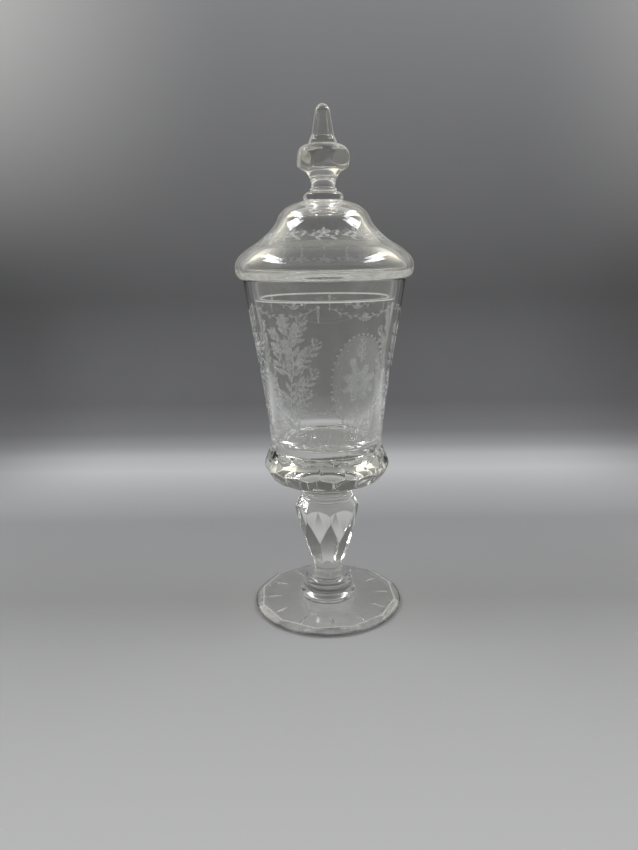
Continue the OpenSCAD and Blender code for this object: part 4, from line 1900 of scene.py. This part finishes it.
@dataclass
class Studio:
    """A straight sweep of grey paper, a window on either side and a sky that is brightest halfway up."""

    side: float = 0.48
    front: float = -1.3
    floor_end: float = 0.270
    bend_r: float = 0.180
    wall_h: float = 0.545
    floor_z: float = -0.0002
    floor_rows: int = 40
    bend_rows: int = 25
    wall_rows: int = 24
    columns: int = 41
    # the paper's greys along its run, with painted light and shade: pale at the bend, darker round the
    # goblet, dark up the wall
    paper: PaperFinish = PaperFinish("studio_paper", (
        (-0.20, 0.51), (-0.146, 0.47), (-0.062, 0.40), (0.0, 0.31), (0.14, 0.31), (0.22, 0.47),
        (0.285, 0.63), (0.325, 0.53), (0.35, 0.34), (0.385, 0.19), (0.45, 0.125), (0.63, 0.165),
        (0.75, 0.235), (0.97, 0.37),
    ))
    sky: tuple[Point, ...] = (
        (0.0, 0.26), (0.5, 0.30), (0.68, 0.50), (0.80, 0.54), (0.92, 0.29), (1.0, 0.24),
    )
    glow: Colour = (1.35, 1.29, 1.10)
    glow_low: Point = (0.38, 0.62)
    glow_high: Point = (0.70, 0.86)
    glow_aside: Point = (0.05, 0.22)
    glow_back: Point = (0.20, 0.50)
    glow_bow: float = 0.2
    room: float = 0.05
    room_share: float = 0.80
    room_front: Point = (0.30, 0.75)
    room_high: Point = (0.30, 0.65)
    aim: Triple = (0.0, 0.0, 0.22)
    window_at: Triple = (0.80, 0.08, 1.12)
    window_w: float = 0.46
    window_h: float = 0.58
    window_bar: float = 0.06
    window_watts: float = 6.6
    window_colour: Colour = (0.97, 0.98, 1.03)

    def sweep(self) -> bpy.types.Object:
        """Builds the sheet of paper: a floor that bends up into a wall.

        Returns:
            The sheet.
        """
        turn = np.linspace(0.0, math.pi / 2, self.bend_rows)
        wall_y = self.floor_end + self.bend_r
        rise = self.bend_r * np.column_stack([np.sin(turn), 1 - np.cos(turn)])
        rows = joined(
            np.linspace((self.front, 0.0), (self.floor_end, 0.0), self.floor_rows),
            np.array([self.floor_end, 0.0]) + rise,
            np.linspace((wall_y, self.bend_r), (wall_y, self.wall_h), self.wall_rows),
        )
        across = np.linspace(-self.side, self.side, self.columns)
        points = [(x, y, z + self.floor_z) for y, z in rows for x in across]
        n = len(across)
        faces = [
            (k * n + j, k * n + j + 1, (k + 1) * n + j + 1, (k + 1) * n + j)
            for k in range(len(rows) - 1) for j in range(n - 1)
        ]
        mesh = bpy.data.meshes.new("studio_sweep")
        mesh.from_pydata(points, [], faces)
        mesh.materials.append(WARDROBE.take(self.paper))
        made = place("studio_sweep", mesh)
        return made

    def world(self) -> None:
        """Lights the scene from all round, with a pale warm band at the back and a dim room in front."""
        sky = bpy.data.worlds.new("studio_sky")
        sky.use_nodes = True
        bench = Bench(sky.node_tree)
        across, back, up = bench.axes(bench.node("ShaderNodeTexCoord", out="Generated"))
        height = up * 0.5 + 0.5
        grey_sky = bench.node("ShaderNodeValToRGB", {"stops": self.sky}, {"Fac": height}, out="Color")
        aside = across * across
        band = (up + aside * self.glow_bow).between(*self.glow_low) * (1.0 - up.between(*self.glow_high))
        sides = aside.between(*self.glow_aside) * back.between(*self.glow_back)
        lit = bench.mix(band * sides, grey_sky, self.glow)
        front = (0.0 - back).between(*self.room_front) * (1.0 - up.between(*self.room_high))
        room = bench.mix(front * self.room_share, lit, grey(self.room))
        light = bench.node("ShaderNodeBackground", {}, {"Color": room, "Strength": 1.0})
        bench.node("ShaderNodeOutputWorld", {}, {"Surface": light})
        bpy.context.scene.world = sky

    def panes(self) -> list[SoftBox]:
        """The lamps: a window of two panes high on either side.

        Returns:
            The four panes.
        """
        x, y, z = self.window_at
        wide = (self.window_w - self.window_bar) / 2
        boxes = []
        for side, side_name in ((-1.0, "left"), (1.0, "right")):
            for shift, pane_name in ((-1.0, "front"), (1.0, "back")):
                along = shift * (wide + self.window_bar) / 2
                boxes.append(SoftBox(
                    f"{side_name}_{pane_name}_pane", (side * x, y + along, z),
                    (self.aim[0], self.aim[1] + along, self.aim[2]), (self.window_h, wide),
                    self.window_watts / 2, self.window_colour,
                ))
        return boxes

    def build(self) -> None:
        """Builds the sweep, the sky and the lamps."""
        self.sweep()
        self.world()
        for box in self.panes():
            box.hang()
            LOG.info("%s: %.1f W", box.name, box.watts)


@dataclass
class PhotoCamera:
    """The camera at the photograph's place. Angles in degrees, places in metres, the lens in pixels."""

    at: Triple = (0.0, -0.4127, 0.2284)
    lens_px: float = 657.0
    pitch: float = 14.23
    roll: float = -0.84
    yaw: float = -0.64
    frame_px: tuple[int, int] = (638, 850)
    sensor: float = 36.0
    clip: float = 0.01

    def build(self) -> bpy.types.Object:
        """Builds the camera and makes it the scene's.

        Returns:
            The camera.
        """
        pitch, roll, yaw = (math.radians(v) for v in (self.pitch, self.roll, self.yaw))
        flat = math.cos(pitch)
        ahead = Vector((math.sin(yaw) * flat, math.cos(yaw) * flat, -math.sin(pitch)))
        right = Vector((math.cos(yaw), -math.sin(yaw), 0.0))
        up = right.cross(ahead)
        tilted_right = math.cos(roll) * right + math.sin(roll) * up
        tilted_up = math.cos(roll) * up - math.sin(roll) * right
        data = bpy.data.cameras.new("photo_camera")
        data.sensor_width = self.sensor
        data.lens = self.lens_px / max(self.frame_px) * self.sensor
        data.clip_start = self.clip
        made = bpy.data.objects.new("photo_camera", data)
        bpy.context.scene.collection.objects.link(made)
        turn = Matrix((tilted_right, tilted_up, -ahead)).transposed()
        made.matrix_world = Matrix.Translation(self.at) @ turn.to_4x4()
        bpy.context.scene.camera = made
        return made


def set_light_paths() -> None:
    """Lets light pass all the walls of the glass, and picks the plain view transform."""
    scene = bpy.context.scene
    scene.view_settings.view_transform = "Standard"
    scene.cycles.max_bounces = BOUNCES
    scene.cycles.transmission_bounces = BOUNCES
    scene.cycles.glossy_bounces = BOUNCES
    scene.cycles.transparent_max_bounces = CLEAR_BOUNCES
    scene.cycles.use_denoising = True


def main() -> None:
    """Builds the camera, the studio and each sub-assembly of the goblet."""
    logging.basicConfig(level=logging.INFO, format="%(name)s %(message)s")
    set_light_paths()
    PhotoCamera().build()
    Studio().build()
    for part in (Foot(), Stem(), Bowl(), Cover(), Finial(), BowlEngraving(), CoverEngraving()):
        part.build()
        LOG.info("%s is built", type(part).__name__)


if __name__ == "__main__":
    main()
